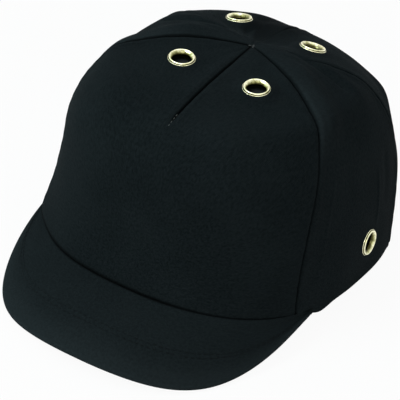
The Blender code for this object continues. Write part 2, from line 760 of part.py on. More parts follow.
def stand_on_floor():
    """Tip the cap back about X until the peak and the rear hem touch z = 0, centred on the origin."""
    points = part_points()
    rear = points[points[:, 2] < 0.0005][:, 1].max()
    below = points[points[:, 2] < -0.0005]
    tip = np.arctan2(-below[:, 2], rear - below[:, 1]).max()
    turn = np.array(Matrix.Rotation(-tip, 3, "X"))
    turned = points @ turn.T
    low, high = turned.min(axis=0), turned.max(axis=0)
    CAP.rotation_euler = (-tip, 0.0, 0.0)
    CAP.location = (0.0, -0.5 * (low[1] + high[1]), -low[2])
    bpy.context.view_layer.update()


def add_empty(name, parent=None, place=(0.0, 0.0, 0.0)):
    """Empty that carries other objects."""
    empty = bpy.data.objects.new(name, None)
    bpy.context.scene.collection.objects.link(empty)
    if parent:
        hang_from(empty, parent, place)
    return empty


clear_scene()
PARTS = new_collection("bump_cap")
CUTTERS = new_collection("cutters")
CAP = add_empty("cap_frame")
CROWN = add_empty("crown_lift", CAP)
HOOK = add_empty("hook_strap_hinge", CROWN, hinge_place())

CLOTH_MATERIAL = make_material("black_twill", (0.020, 0.024, 0.026), 0.85)
TAPE_MATERIAL = make_material("seam_tape", (0.030, 0.030, 0.032), 0.80)
STRAP_MATERIAL = make_material("strap_cloth", (0.022, 0.024, 0.026), 0.80)
HOOK_MATERIAL = make_material("hook_fastener", (0.018, 0.018, 0.018), 0.70)
LOOP_MATERIAL = make_material("loop_fastener", (0.030, 0.030, 0.030), 0.95)
BRASS_MATERIAL = make_material("brass", (0.80, 0.68, 0.38), 0.28, 1.0)
SHELL_MATERIAL = make_material("shell_plastic", (0.035, 0.036, 0.038), 0.45)
FOAM_MATERIAL = make_material("foam", (0.045, 0.045, 0.048), 0.90)
BAND_MATERIAL = make_material("sweatband_cloth", (0.028, 0.028, 0.030), 0.90)
BOARD_MATERIAL = make_material("peak_board", (0.75, 0.75, 0.72), 0.50)

build_eyelets(build_panels())
build_tapes()
build_peak()
build_shell()
build_pads()
build_sweatband()
build_binding()
build_straps()
stand_on_floor()
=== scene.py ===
"""Looks of a black twill bump cap: cloth crown, short peak, brass eyelets and a vented hard insert."""
import json
import math

import bmesh
import bpy
import numpy as np
from mathutils import Matrix, Vector


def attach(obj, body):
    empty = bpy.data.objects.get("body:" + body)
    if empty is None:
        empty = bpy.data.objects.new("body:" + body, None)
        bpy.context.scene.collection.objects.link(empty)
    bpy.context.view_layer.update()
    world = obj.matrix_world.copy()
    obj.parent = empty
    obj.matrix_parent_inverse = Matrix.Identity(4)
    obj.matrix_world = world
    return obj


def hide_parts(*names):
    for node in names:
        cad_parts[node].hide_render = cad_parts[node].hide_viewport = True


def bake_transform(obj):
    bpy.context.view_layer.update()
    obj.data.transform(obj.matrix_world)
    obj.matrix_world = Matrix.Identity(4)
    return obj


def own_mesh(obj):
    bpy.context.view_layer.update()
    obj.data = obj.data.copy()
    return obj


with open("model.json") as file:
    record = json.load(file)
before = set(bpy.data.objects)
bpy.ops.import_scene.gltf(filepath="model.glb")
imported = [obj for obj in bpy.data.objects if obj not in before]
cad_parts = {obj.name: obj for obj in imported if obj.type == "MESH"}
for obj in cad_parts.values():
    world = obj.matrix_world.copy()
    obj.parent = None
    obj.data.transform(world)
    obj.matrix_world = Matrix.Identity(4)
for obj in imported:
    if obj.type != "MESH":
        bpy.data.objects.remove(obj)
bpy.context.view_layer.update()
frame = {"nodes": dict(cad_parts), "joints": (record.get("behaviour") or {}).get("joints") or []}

MM = 0.001


# ================================================================ measures shared with the solid model
# The crown's hem is a superellipse. Each profile gives a meridian's two Bezier handles, as shares of the
# hem's reach and of the crown's height: the low one's lean and height, the high one's reach and drop.
HALF_WIDTH = 93.5 * MM
FRONT_REACH = 101.3 * MM
REAR_REACH = 104.3 * MM
OUTLINE_POWER = 2.4
CROWN_HEIGHT = 112.2 * MM
FRONT_PROFILE = (0.066, 0.754, 1.341, 0.108)
SIDE_PROFILE = (0.076, 0.565, 1.038, -0.086)
REAR_PROFILE = (-0.006, 1.070, 0.321, 0.058)
FRONT_HEM_RISE = 4.5 * MM
FRONT_FLARE = 6.4 * MM
FLARE_FADE = 14.4 * MM
CLOTH = 1.0 * MM

# Places on the crown are an angle from the front, positive to the wearer's left, and a rise, which is 0 at
# the hem and 1 at the apex. A seam is its angle at the hem, its angle at the apex, and its bend.
REAR = math.pi
FRONT_SEAM = (math.radians(53.2), math.radians(67.0), 2.2)
SIDE_SEAM = (math.radians(116.0), math.radians(94.0), 6.0)
REAR_SEAM = (REAR, REAR, 1.0)
DART = (0.0, 0.0, 1.0)
DART_RISE = 0.664
DIFF = 1e-4
LAST_SLOPE = 0.995

EYELET_SEATS = {
    "front_right": (math.radians(-33.5), 0.869),
    "front_left": (math.radians(33.5), 0.869),
    "rear_right": (math.radians(-140.2), 0.786),
    "rear_left": (math.radians(140.2), 0.786),
    "side_right": (math.radians(-91.3), 0.115),
    "side_left": (math.radians(91.3), 0.115),
}
EYELET_HOLE = 4.8 * MM
FLANGE_RADIUS = 8.0 * MM
FLANGE_HEIGHT = 1.4 * MM

OPENING_ANGLE = math.radians(24.0)
OPENING_RISE = 0.16
BINDING_RISE = 0.03
BINDING_THICK = 0.8 * MM
STRAP_RISE = (0.008, 0.076)
STRAP_THICK = 1.0 * MM
STRAP_ANCHOR = math.radians(7.5)
STRAP_LAP = math.radians(14.0)
STRAP_STEP_IN = math.radians(7.0)
STRAP_END_ROUND = math.radians(6.0)
HINGE_INSET = math.radians(5.5)
OPENING_EDGE = REAR - OPENING_ANGLE
HINGE_ANGLE = OPENING_EDGE + HINGE_INSET
STRAP_MIDDLE = 0.5 * sum(STRAP_RISE)
FASTENER_MARGIN = 0.010
LAYER_GAP = 0.3 * MM
CURVED_GAP = 0.7 * MM
TAPE_LAYER = 0.8 * MM
TAPE_WIDTH = 9.0 * MM

PEAK_HALF_ANGLE = math.radians(60.6)
PEAK_REACH = 49.1 * MM
PEAK_POWER = 2.29
PEAK_TIP_DROP = 19.1 * MM
PEAK_CORNER_DROP = 21.3 * MM
PEAK_ARCH = 3.0 * MM
PEAK_THICK = 4.2 * MM
PEAK_CLOTH = 0.7 * MM

SHELL_DEPTH = 4.6 * MM
SHELL_WALL = 2.0 * MM
SHELL_RIM_RISE = 0.08
SHELL_ARCH_ANGLE = math.radians(31.0)
SHELL_ARCH_RISE = 0.21
RIB_HEIGHT = 1.4 * MM
RIB_HALF_ANGLE = math.radians(6.0)
RIB_ANGLES = (0.0, 60.0, 113.0, 180.0)
RIB_RUN = (0.14, 0.86)
VENT_WIDTH = 7.0 * MM
# Each row of vents: angles in degrees, rise and length.
VENT_ROWS = {
    "lower": ((20.0, 40.0, 78.0, 95.0, 134.0), 0.35, 22.0 * MM),
    "upper": ((18.0, 38.0, 86.0, 138.0, 158.0), 0.61, 28.0 * MM),
}
PAD_DEPTH = SHELL_DEPTH + SHELL_WALL + 0.9 * MM
BAND_END = math.radians(146.0)
BAND_THICK = 2.0 * MM
BAND_TOP_RISE = 0.165
BAND_FOOT_RISE = 0.006


# ================================================================ arithmetic helpers
GOLDEN_ANGLE = 2.39996
RIPPLE_WAVES = 5
# A ripple's shortest wave and what each further one adds, as shares of its size; and how far the seed and
# each further wave shift a wave's start, in radians.
RIPPLE_SHORTEST, RIPPLE_GROWTH = 0.7, 0.31
RIPPLE_SEED_SHIFT, RIPPLE_WAVE_SHIFT = 1.7, 2.1


def ramp(value, low, high):
    """Smooth step: 0 up to low, 1 from high on, and 3s^2 - 2s^3 between them."""
    share = np.clip((value - low) / (high - low), 0.0, 1.0)
    return share * share * (3.0 - 2.0 * share)


def bell(value, middle, width):
    """Gaussian bump of height 1: e to the minus square of the distance in widths."""
    return np.exp(-(((value - middle) / width) ** 2))


def unit(vectors):
    """Vectors scaled to length 1."""
    return vectors / np.linalg.norm(vectors, axis=-1, keepdims=True)


def full_turn(count):
    """Angles spaced evenly round a full turn, the first of them 0."""
    return np.linspace(0.0, 2.0 * math.pi, count + 1)[:-1]


def squared(value, power):
    """Signed power, which turns the sine and cosine of a circle into those of a squarer superellipse."""
    return np.sign(value) * np.abs(value) ** power


def ripple(across, along, size, seed):
    """Smooth uneven surface: sine waves whose directions and lengths follow the golden angle."""
    total = np.zeros(np.broadcast(across, along).shape)
    for wave in range(RIPPLE_WAVES):
        heading = seed + GOLDEN_ANGLE * wave
        pitch = size * (RIPPLE_SHORTEST + RIPPLE_GROWTH * wave)
        travel = across * math.cos(heading) + along * math.sin(heading)
        total = total + np.sin(
            2.0 * math.pi * travel / pitch + RIPPLE_SEED_SHIFT * seed + RIPPLE_WAVE_SHIFT * wave
        )
    return total / RIPPLE_WAVES


# ================================================================ crown surface
def mix_profile(angle, index):
    """One ratio of the front, side and rear profiles, mixed by the squares of cosine and sine."""
    cosine = np.cos(angle)
    front = np.where(cosine > 0, cosine**2, 0.0)
    rear = np.where(cosine < 0, cosine**2, 0.0)
    side = np.sin(angle) ** 2
    return FRONT_PROFILE[index] * front + SIDE_PROFILE[index] * side + REAR_PROFILE[index] * rear


def crown_base(angle, rise):
    """Outer face of the crown in the cap's own frame, whose hem is on z = 0 and whose front is -Y.

    The hem is a superellipse; each meridian is a cubic Bezier curve from the hem to the apex. The front
    flares out above its hem by an exponential that fades upwards.
    """
    angle, rise = np.broadcast_arrays(np.asarray(angle, float), np.asarray(rise, float))
    sine, cosine = np.sin(angle), np.cos(angle)
    reach = np.where(cosine > 0, FRONT_REACH, REAR_REACH)
    outline = np.abs(sine / HALF_WIDTH) ** OUTLINE_POWER + np.abs(cosine / reach) ** OUTLINE_POWER
    outline = outline ** (-1.0 / OUTLINE_POWER)
    front = np.maximum(cosine, 0.0) ** 2
    hem = FRONT_HEM_RISE * front**2
    low, high = (1.0 - rise) ** 3, rise**3
    mid_low, mid_high = 3.0 * rise * (1.0 - rise) ** 2, 3.0 * rise**2 * (1.0 - rise)
    radius = outline * (low + mid_low * (1.0 - mix_profile(angle, 0)) + mid_high * mix_profile(angle, 2))
    top = mid_high * (1.0 - mix_profile(angle, 3)) + high
    height = low * hem + CROWN_HEIGHT * (mid_low * mix_profile(angle, 1) + top)
    radius = radius + FRONT_FLARE * front * np.exp(-(height - hem) / FLARE_FADE)
    return np.stack([radius * sine, -radius * cosine, height], -1)


def crown_normal(angle, rise):
    """Outward unit normal of the crown, by central differences; the apex takes that of its surroundings."""
    rise = np.clip(rise, -1.0, LAST_SLOPE)
    across = crown_base(angle + DIFF, rise) - crown_base(angle - DIFF, rise)
    upward = crown_base(angle, rise + DIFF) - crown_base(angle, rise - DIFF)
    return unit(np.cross(across, upward))


def crown_point(angle, rise, depth=0.0):
    """Point at a depth below the crown's outer face."""
    depth = np.asarray(depth, float)
    return crown_base(angle, rise) - crown_normal(angle, rise) * depth[..., None]


def crown_radius(angle, rise):
    """Horizontal distance from the cap's axis."""
    return np.linalg.norm(crown_base(angle, rise)[..., :2], axis=-1)


def seam_angle(seam, rise):
    """Angle of a seam: hem angle + (apex angle - hem angle) * rise to the power of its bend."""
    hem, top, bend = seam
    return hem + (top - hem) * np.clip(rise, 0.0, 1.0) ** bend


def opposite(seam):
    """The same seam on the other side of the cap."""
    hem, top, bend = seam
    return -hem, -top, bend


def crown_frame(angle, rise):
    """Origin and the three axes (across, up, out) of a flat seat on the crown."""
    origin = crown_base(angle, rise)
    out = crown_normal(angle, rise)
    up = unit(crown_base(angle, rise + DIFF) - crown_base(angle, rise - DIFF))
    across = unit(np.cross(up, out))
    return origin, np.stack([across, np.cross(out, across), out])


# ================================================================ the cap's frame in the model
def strap_layers():
    """Depths of the outer faces of the stacked straps and fasteners, from the inside out."""
    depth = {"loop_strap": CLOTH + CURVED_GAP + BINDING_THICK + LAYER_GAP}
    depth["loop_tape"] = depth["loop_strap"] - LAYER_GAP - TAPE_LAYER
    depth["hook_tape"] = depth["loop_tape"] - LAYER_GAP - TAPE_LAYER
    depth["hook_strap"] = depth["hook_tape"] - LAYER_GAP - STRAP_THICK
    return depth


JOINTS = {joint["name"]: joint for joint in frame["joints"]}
CAP_UP = unit(np.array(JOINTS["crown_lift"]["axis"], float))
TURN = np.array([[1.0, 0.0, 0.0], [0.0, CAP_UP[2], CAP_UP[1]], [0.0, -CAP_UP[1], CAP_UP[2]]])
STRAP_LAYERS = strap_layers()
HINGE_DEPTH = STRAP_LAYERS["loop_strap"] + 0.5 * STRAP_THICK
HINGE_SEAT = crown_point(HINGE_ANGLE, STRAP_MIDDLE, HINGE_DEPTH)
CAP_ORIGIN = np.array(JOINTS["hook_strap_peel"]["pos_m"], float) - TURN @ HINGE_SEAT


def to_model(points):
    """Cap frame to the model's frame: the cap tips back to stand on its peak and rear hem."""
    return points @ TURN.T + CAP_ORIGIN


# ================================================================ node helpers
# A Mix node's colour sockets: its factor, its two colours and the mixed colour.
MIX_FACTOR, MIX_FIRST, MIX_SECOND, MIX_RESULT = 0, 6, 7, 2


def arithmetic(operation, swapped=False):
    """An operator of a wire: one Math node on both sides, the other way round for the reflected form."""
    def operator(self, other):
        values = (other, self) if swapped else (self, other)
        return self.maths(operation, *values)
    return operator


class Wire:
    """An output socket of a node tree. Arithmetic on wires and numbers adds Math nodes."""

    def __init__(self, nodes, socket):
        self.nodes, self.socket = nodes, socket

    def maths(self, operation, *values):
        """A Math node fed with wires or numbers."""
        return self.nodes.node("ShaderNodeMath", {"operation": operation}, dict(enumerate(values)))

    __add__, __radd__ = arithmetic("ADD"), arithmetic("ADD", swapped=True)
    __sub__, __rsub__ = arithmetic("SUBTRACT"), arithmetic("SUBTRACT", swapped=True)
    __mul__, __rmul__ = arithmetic("MULTIPLY"), arithmetic("MULTIPLY", swapped=True)
    __truediv__, __rtruediv__ = arithmetic("DIVIDE"), arithmetic("DIVIDE", swapped=True)

    def __abs__(self):
        return self.maths("ABSOLUTE", self)

    def fraction(self):
        """What is left above the whole number."""
        return self.maths("FRACT", self)

    def wave(self, pitch):
        """Sine wave of this length, from -1 to 1."""
        return self.maths("SINE", (self / pitch) * (2.0 * math.pi))

    def between(self, low, high):
        """0 at low, 1 at high, smooth and clamped."""
        inputs = {"Value": self, "From Min": low, "From Max": high}
        return self.nodes.node("ShaderNodeMapRange", {"interpolation_type": "SMOOTHSTEP"}, inputs)


class Nodes:
    """A node tree, to which one method adds any node."""

    def __init__(self, tree):
        self.tree = tree

    def node(self, kind, settings=None, inputs=None, output=0):
        """Add a node: its settings first, then the values or wires of its sockets."""
        made = self.tree.nodes.new(kind)
        for name, value in (settings or {}).items():
            setattr(made, name, value)
        for name, value in (inputs or {}).items():
            if isinstance(value, Wire):
                self.tree.links.new(value.socket, made.inputs[name])
            else:
                made.inputs[name].default_value = value
        return Wire(self, made.outputs[output])

    def surface(self, wire, output):
        """Join a wire to the surface of the tree's own output node."""
        self.tree.links.new(wire.socket, self.tree.nodes[output].inputs["Surface"])

    def seen_or_mirrored(self):
        """1 for rays from the camera and for mirrored ones, 0 for the light that reaches the cap."""
        camera = self.node("ShaderNodeLightPath", {}, {}, "Is Camera Ray")
        glossy = self.node("ShaderNodeLightPath", {}, {}, "Is Glossy Ray")
        return camera + glossy


class Finish(Nodes):
    """A Principled material; same-everywhere values are set on the shader's own sockets."""

    def __init__(self, name, **values):
        self.material = bpy.data.materials.new(name)
        self.material.use_nodes = True
        super().__init__(self.material.node_tree)
        self.shader = self.tree.nodes["Principled BSDF"]
        for socket, value in values.items():
            self.shader.inputs[socket.replace("_", " ")].default_value = value

    def feed(self, socket, wire):
        """Join a wire to a socket of the shader."""
        self.tree.links.new(wire.socket, self.shader.inputs[socket])

    def noise(self, vector, scale, detail=2.0, roughness=0.5):
        """Cloudy noise from 0 to 1, with this many clouds in each metre."""
        inputs = {"Vector": vector, "Scale": scale, "Detail": detail, "Roughness": roughness}
        return self.node("ShaderNodeTexNoise", {}, inputs)

    def place(self):
        """Object coordinates, in metres."""
        return self.node("ShaderNodeTexCoord", {}, {}, "Object")

    def cloth_axes(self):
        """The piece's own UV map, in metres along and across the cloth."""
        uv = self.node("ShaderNodeUVMap", {"uv_map": "cloth"})
        across = self.node("ShaderNodeSeparateXYZ", {}, {0: uv}, 0)
        along = self.node("ShaderNodeSeparateXYZ", {}, {0: uv}, 1)
        return uv, across, along

    def mark(self, name):
        """A number that the mesh keeps for each of its points."""
        return self.node("ShaderNodeAttribute", {"attribute_name": name}, {}, "Fac")

    def blend(self, factor, first, second):
        """Mix two colours, which are wires or plain colours."""
        inputs = {MIX_FACTOR: factor, MIX_FIRST: first, MIX_SECOND: second}
        for key in (MIX_FIRST, MIX_SECOND):
            if not isinstance(inputs[key], Wire):
                inputs[key] = (*inputs[key], 1.0)
        return self.node("ShaderNodeMix", {"data_type": "RGBA"}, inputs, MIX_RESULT)

    def relief(self, height, distance, strength=1.0):
        """Bump the shader's normal by a height."""
        inputs = {"Height": height, "Distance": distance, "Strength": strength}
        self.feed("Normal", self.node("ShaderNodeBump", {}, inputs))


# ================================================================ materials
TWILL_PITCH = 0.9 * MM
TWILL_DARK = (0.0028, 0.0046, 0.0053)
TWILL_LIGHT = (0.0130, 0.0178, 0.0194)
# Colours that painted light and painted shade take the twill towards.
PAINTED_LIGHT_TWILL = (0.0200, 0.0270, 0.0295)
SEAM_SHADE = (0.0010, 0.0014, 0.0015)
SHEEN_TINT = (0.75, 0.92, 1.0, 1.0)
# Brass colours: the pale metal, and the olive and dull dark ones that paint shade and dark reflections over
# real tarnish.
BRASS_PALE = (0.95, 0.93, 0.66)
BRASS_WARM = (0.46, 0.45, 0.19)
BRASS_DULL = (0.030, 0.027, 0.008)
TOWEL_ROW = 1.1 * MM
HERRINGBONE_WIDTH = 3.0 * MM
HERRINGBONE_PITCH = 0.9 * MM
HOOK_PITCH = (1.4 * MM, 1.1 * MM)


def twill(name):
    """Cotton twill: slanting ribs of yarn, uneven dye, slubs, lint and a soft sheen at the edges.

    Two marks paint light and shade into the cloth's colour: painted shade darkens it in the seams, in the
    crease at the peak and on the slack rear cloth, and painted light pales it on the rolls behind the front
    seams and on the peak, most at its rolled edge.
    """
    finish = Finish(name, Roughness=0.9, Specular_IOR_Level=0.014, Sheen_Weight=0.008, Sheen_Roughness=0.45)
    finish.shader.inputs["Sheen Tint"].default_value = SHEEN_TINT
    uv, across, along = finish.cloth_axes()
    waver = finish.noise(uv, 900.0, 1.0) * (0.35 * TWILL_PITCH)
    rib = (across * 0.92 + along * 1.25 + waver).wave(TWILL_PITCH) * 0.5 + 0.5
    thread = (across - along * 0.7).wave(0.62 * TWILL_PITCH) * 0.5 + 0.5
    yarn = rib * 0.72 + thread * 0.28
    dye = finish.noise(finish.place(), 28.0, 4.0, 0.55).between(0.35, 0.68)
    slub = finish.noise(uv, 520.0, 3.0, 0.80).between(0.36, 0.64)
    speck = finish.noise(uv, 1050.0, 2.0, 0.8).between(0.38, 0.66)
    lint = finish.noise(uv, 430.0, 2.0, 0.8).between(0.735, 0.76)
    tone = yarn * 0.28 + dye * 0.18 + slub * 0.36 + speck * 0.36 + lint * 0.9
    # Painted light: the cloth turns paler where the lamps light it most.
    painted_light = finish.mark("painted_light") * (0.7 + slub * 0.3)
    colour = finish.blend(painted_light, finish.blend(tone, TWILL_DARK, TWILL_LIGHT), PAINTED_LIGHT_TWILL)
    # Painted shade: the cloth is darkened towards SEAM_SHADE in the seams, the creases and the slack rear
    # cloth.
    finish.feed("Base Color", finish.blend(finish.mark("sewn_and_painted_shade") * 0.97, colour, SEAM_SHADE))
    finish.feed("Roughness", 0.92 - yarn * 0.12)
    finish.relief(yarn + slub * 0.7 + speck * 0.5, 0.22 * MM, 0.6)
    return finish.material


def brass():
    """Pale plated brass: bright rolled metal with real tarnish and painted shade in its hollows, painted dark
    reflections that break up its highlights, and handling marks.
    """
    finish = Finish("eyelet_brass", Metallic=1.0, Roughness=0.24)
    place = finish.place()
    painted_reflection_and_roughness = finish.noise(place, 330.0, 3.0, 0.65)
    spot = finish.noise(place, 900.0, 2.0, 0.6).between(0.62, 0.78)
    # Painted shade in the bore, the bell mouth and the hollow outside the crest, over real tarnish there; the
    # cloud paints dark reflections that break up the highlights, and also varies the roughness and the bumps.
    tarnish_and_painted_shade = finish.mark("tarnish_and_painted_shade")
    warmth = (tarnish_and_painted_shade * 0.9 + painted_reflection_and_roughness * 1.7 - 0.76).between(0.0, 0.75)
    tarnish_and_painted_reflection = (tarnish_and_painted_shade * 1.4 + painted_reflection_and_roughness - 0.85).between(0.0, 1.0)
    colour = finish.blend(warmth, BRASS_PALE, BRASS_WARM)
    finish.feed("Base Color", finish.blend(tarnish_and_painted_reflection, colour, BRASS_DULL))
    finish.feed("Roughness", 0.13 + painted_reflection_and_roughness * 0.12 + spot * 0.12)
    finish.relief(painted_reflection_and_roughness + spot * 0.4, 0.06 * MM, 0.5)
    return finish.material


def moulded_plastic(name, dark, light):
    """Moulded plastic: a satin face with a fine spark-eroded grain, flow marks and soft scuffs."""
    finish = Finish(name, Roughness=0.42, Specular_IOR_Level=0.25)
    place = finish.place()
    grain = finish.noise(place, 2600.0, 2.0, 0.6)
    flow = finish.noise(place, 24.0, 3.0, 0.5)
    scuff = finish.noise(place, 220.0, 4.0, 0.7).between(0.60, 0.72)
    finish.feed("Base Color", finish.blend(flow * 0.5 + scuff * 0.3, dark, light))
    finish.feed("Roughness", 0.34 + grain * 0.14 + scuff * 0.12)
    finish.relief(grain, 0.08 * MM, 0.5)
    return finish.material


def foam(name, dark, light):
    """Closed-cell foam: a skin of tiny cells with soft dents."""
    finish = Finish(name, Roughness=0.9, Specular_IOR_Level=0.15)
    place = finish.place()
    cells = finish.node("ShaderNodeTexVoronoi", {}, {"Vector": place, "Scale": 1400.0})
    dents = finish.noise(place, 120.0, 2.0)
    finish.feed("Base Color", finish.blend(cells * 0.6 + dents * 0.3, dark, light))
    finish.relief(cells * 0.6 + dents, 0.2 * MM, 0.6)
    return finish.material


def towelling(name, dark, light):
    """Sweatband cloth: brushed loops in close rows."""
    finish = Finish(name, Roughness=0.95, Specular_IOR_Level=0.08, Sheen_Weight=0.25, Sheen_Roughness=0.6)
    uv, _, along = finish.cloth_axes()
    row = along.wave(TOWEL_ROW) * 0.5 + 0.5
    pile = row * 0.4 + finish.noise(uv, 1400.0, 2.0, 0.65) * 0.6
    finish.feed("Base Color", finish.blend(pile, dark, light))
    finish.relief(pile, 0.4 * MM, 0.7)
    return finish.material


def woven_tape(name, dark, light):
    """Narrow herringbone tape: the slant of the ribs turns over every few millimetres."""
    finish = Finish(name, Roughness=0.85, Specular_IOR_Level=0.15)
    uv, across, along = finish.cloth_axes()
    turn = abs((across / HERRINGBONE_WIDTH).fraction() - 0.5) * HERRINGBONE_WIDTH
    rib = (turn * 2.0 + along).wave(HERRINGBONE_PITCH) * 0.5 + 0.5
    fuzz = finish.noise(uv, 1300.0, 2.0, 0.6)
    finish.feed("Base Color", finish.blend(rib * 0.6 + fuzz * 0.4, dark, light))
    finish.relief(rib + fuzz * 0.4, 0.2 * MM, 0.6)
    return finish.material


def hook_face(name, dark, light):
    """Hook tape: rows of small stiff nylon hooks, where two sine waves cross."""
    finish = Finish(name, Roughness=0.75, Specular_IOR_Level=0.12)
    _, across, along = finish.cloth_axes()
    hook = (across.wave(HOOK_PITCH[0]) * along.wave(HOOK_PITCH[1])).between(0.1, 0.8)
    finish.feed("Base Color", finish.blend(hook, dark, light))
    finish.relief(hook, 0.6 * MM, 0.8)
    return finish.material


def loop_face(name, dark, light):
    """Loop tape: a brushed mat of fine loops in soft clumps."""
    finish = Finish(name, Roughness=0.97, Specular_IOR_Level=0.08, Sheen_Weight=0.4, Sheen_Roughness=0.5)
    place = finish.place()
    pile = finish.noise(place, 1800.0, 3.0, 0.75) * 0.7 + finish.noise(place, 260.0, 2.0, 0.6) * 0.3
    finish.feed("Base Color", finish.blend(pile, dark, light))
    finish.relief(pile, 0.6 * MM, 0.8)
    return finish.material


def thread_finish(name, dark, light):
    """Polyester sewing thread: a two-ply twist with a slight gloss."""
    finish = Finish(name, Roughness=0.85, Specular_IOR_Level=0.04)
    ply = finish.noise(finish.place(), 2400.0, 1.0)
    finish.feed("Base Color", finish.blend(ply, dark, light))
    finish.relief(ply, 0.1 * MM, 0.5)
    return finish.material


TWILL = twill("cap_twill")
BRASS = brass()
SHELL_PLASTIC = moulded_plastic("shell_plastic", (0.018, 0.019, 0.021), (0.042, 0.044, 0.047))
BOARD = moulded_plastic("peak_board", (0.50, 0.50, 0.47), (0.66, 0.66, 0.62))
FOAM = foam("pad_foam", (0.020, 0.020, 0.022), (0.055, 0.055, 0.060))
TOWELLING = towelling("sweatband_cloth", (0.010, 0.011, 0.012), (0.034, 0.036, 0.039))
SEAM_TAPE = woven_tape("seam_tape", (0.010, 0.010, 0.011), (0.040, 0.040, 0.043))
WEBBING = woven_tape("strap_cloth", (0.006, 0.008, 0.009), (0.022, 0.026, 0.028))
HOOK_FACE = hook_face("hook_fastener", (0.006, 0.006, 0.007), (0.045, 0.046, 0.048))
LOOP_FACE = loop_face("loop_fastener", (0.008, 0.008, 0.009), (0.045, 0.047, 0.050))
BLACK_THREAD = thread_finish("black_thread", (0.004, 0.006, 0.007), (0.012, 0.015, 0.016))
# Its grey is partly the thread's own colour and partly a painted highlight on the dart's stitches.
PALE_AND_HIGHLIGHTED_THREAD = thread_finish("pale_thread_with_painted_highlight", (0.07, 0.075, 0.075), (0.17, 0.18, 0.18))


# ================================================================ mesh helpers
STITCH = 2.6 * MM
STITCH_GAP = 0.9 * MM
THREAD_RADIUS = 0.22 * MM
THREAD_TIP = 0.02
THREAD_LIFT, THREAD_DIP = 0.9, 1.3
STITCH_STATIONS = 7
THREAD_SIDES = 6


def add_object(name, points, faces, material, uv=None):
    """Link a smooth mesh whose points are given in the cap's frame."""
    mesh = bpy.data.meshes.new(name)
    points = to_model(np.asarray(points, float).reshape(-1, 3))
    mesh.from_pydata(points.tolist(), [], faces.tolist() if isinstance(faces, np.ndarray) else faces)
    if uv is not None:
        layer = mesh.uv_layers.new(name="cloth")
        corner = np.empty(len(mesh.loops), np.int32)
        mesh.loops.foreach_get("vertex_index", corner)
        layer.data.foreach_set("uv", uv.reshape(-1, 2)[corner].astype(np.float32).ravel())
    mesh.shade_smooth()
    mesh.materials.append(material)
    obj = bpy.data.objects.new(name, mesh)
    bpy.context.scene.collection.objects.link(obj)
    return obj


def grid_faces(rows, columns, wrap_columns=False, wrap_rows=False):
    """Quads of a grid of points, as an array of four point numbers."""
    row = np.arange(rows if wrap_rows else rows - 1)[:, None]
    column = np.arange(columns if wrap_columns else columns - 1)[None, :]
    right = (column + 1) % columns
    above = (row + 1) % rows
    quads = [row * columns + column, row * columns + right, above * columns + right, above * columns + column]
    return np.stack(np.broadcast_arrays(*quads), -1).reshape(-1, 4)


def cloth_uv(grid):
    """UV map in metres: distance across from the middle column, and up the middle column."""
    step = np.linalg.norm(np.diff(grid, axis=1), axis=-1)
    across = np.concatenate([np.zeros((len(grid), 1)), np.cumsum(step, axis=1)], axis=1)
    middle = grid.shape[1] // 2
    across = across - across[:, middle : middle + 1]
    climb = np.linalg.norm(np.diff(grid[:, middle], axis=0), axis=-1)
    along = np.concatenate([[0.0], np.cumsum(climb)])[:, None]
    return np.stack(np.broadcast_arrays(across, along), -1)


def add_grid(name, grid, material, flip=False, keep=None, wrap_columns=False, wrap_rows=False, marks=None):
    """Surface through a grid of points; keep says which points stay, marks holds a number for each point."""
    rows, columns = grid.shape[:2]
    faces = grid_faces(rows, columns, wrap_columns, wrap_rows)
    if keep is not None:
        faces = faces[keep.reshape(-1)[faces].all(axis=1)]
    if flip:
        faces = faces[:, ::-1]
    obj = add_object(name, grid, faces, material, cloth_uv(grid))
    for mark, values in (marks or {}).items():
        layer = obj.data.attributes.new(mark, "FLOAT", "POINT")
        layer.data.foreach_set("value", np.broadcast_to(values, grid.shape[:2]).astype(np.float32).ravel())
    if keep is not None:
        drop_loose_points(obj)
    return obj


def drop_loose_points(obj):
    """Delete the points that no face uses."""
    bm = bmesh.new()
    bm.from_mesh(obj.data)
    loose = [vertex for vertex in bm.verts if not vertex.link_faces]
    bmesh.ops.delete(bm, geom=loose, context="VERTS")
    bm.to_mesh(obj.data)
    bm.free()


def cap_ends(obj):
    """Close the open ends of a mesh and turn its faces outwards."""
    bm = bmesh.new()
    bm.from_mesh(obj.data)
    rims = [edge for edge in bm.edges if edge.is_boundary]
    if rims:
        bmesh.ops.holes_fill(bm, edges=rims, sides=0)
    bmesh.ops.recalc_face_normals(bm, faces=bm.faces[:])
    bm.to_mesh(obj.data)
    bm.free()
    return obj


def thicken(obj, thickness):
    """Give a surface a wall on its inner side."""
    modifier = obj.modifiers.new("wall", "SOLIDIFY")
    modifier.thickness = thickness
    modifier.offset = -1.0
    return obj


def apply_modifiers(obj):
    """Make an object's modifiers part of its mesh."""
    graph = bpy.context.evaluated_depsgraph_get()
    mesh = bpy.data.meshes.new_from_object(obj.evaluated_get(graph))
    obj.modifiers.clear()
    obj.data = mesh
    return obj


def settle(obj, body, slot, *nodes):
    """Let a piece ride on a body and stand for its CAD nodes, which it hides; slot is not used."""
    if nodes:
        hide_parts(*nodes)
    if body:
        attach(obj, body)
    return obj


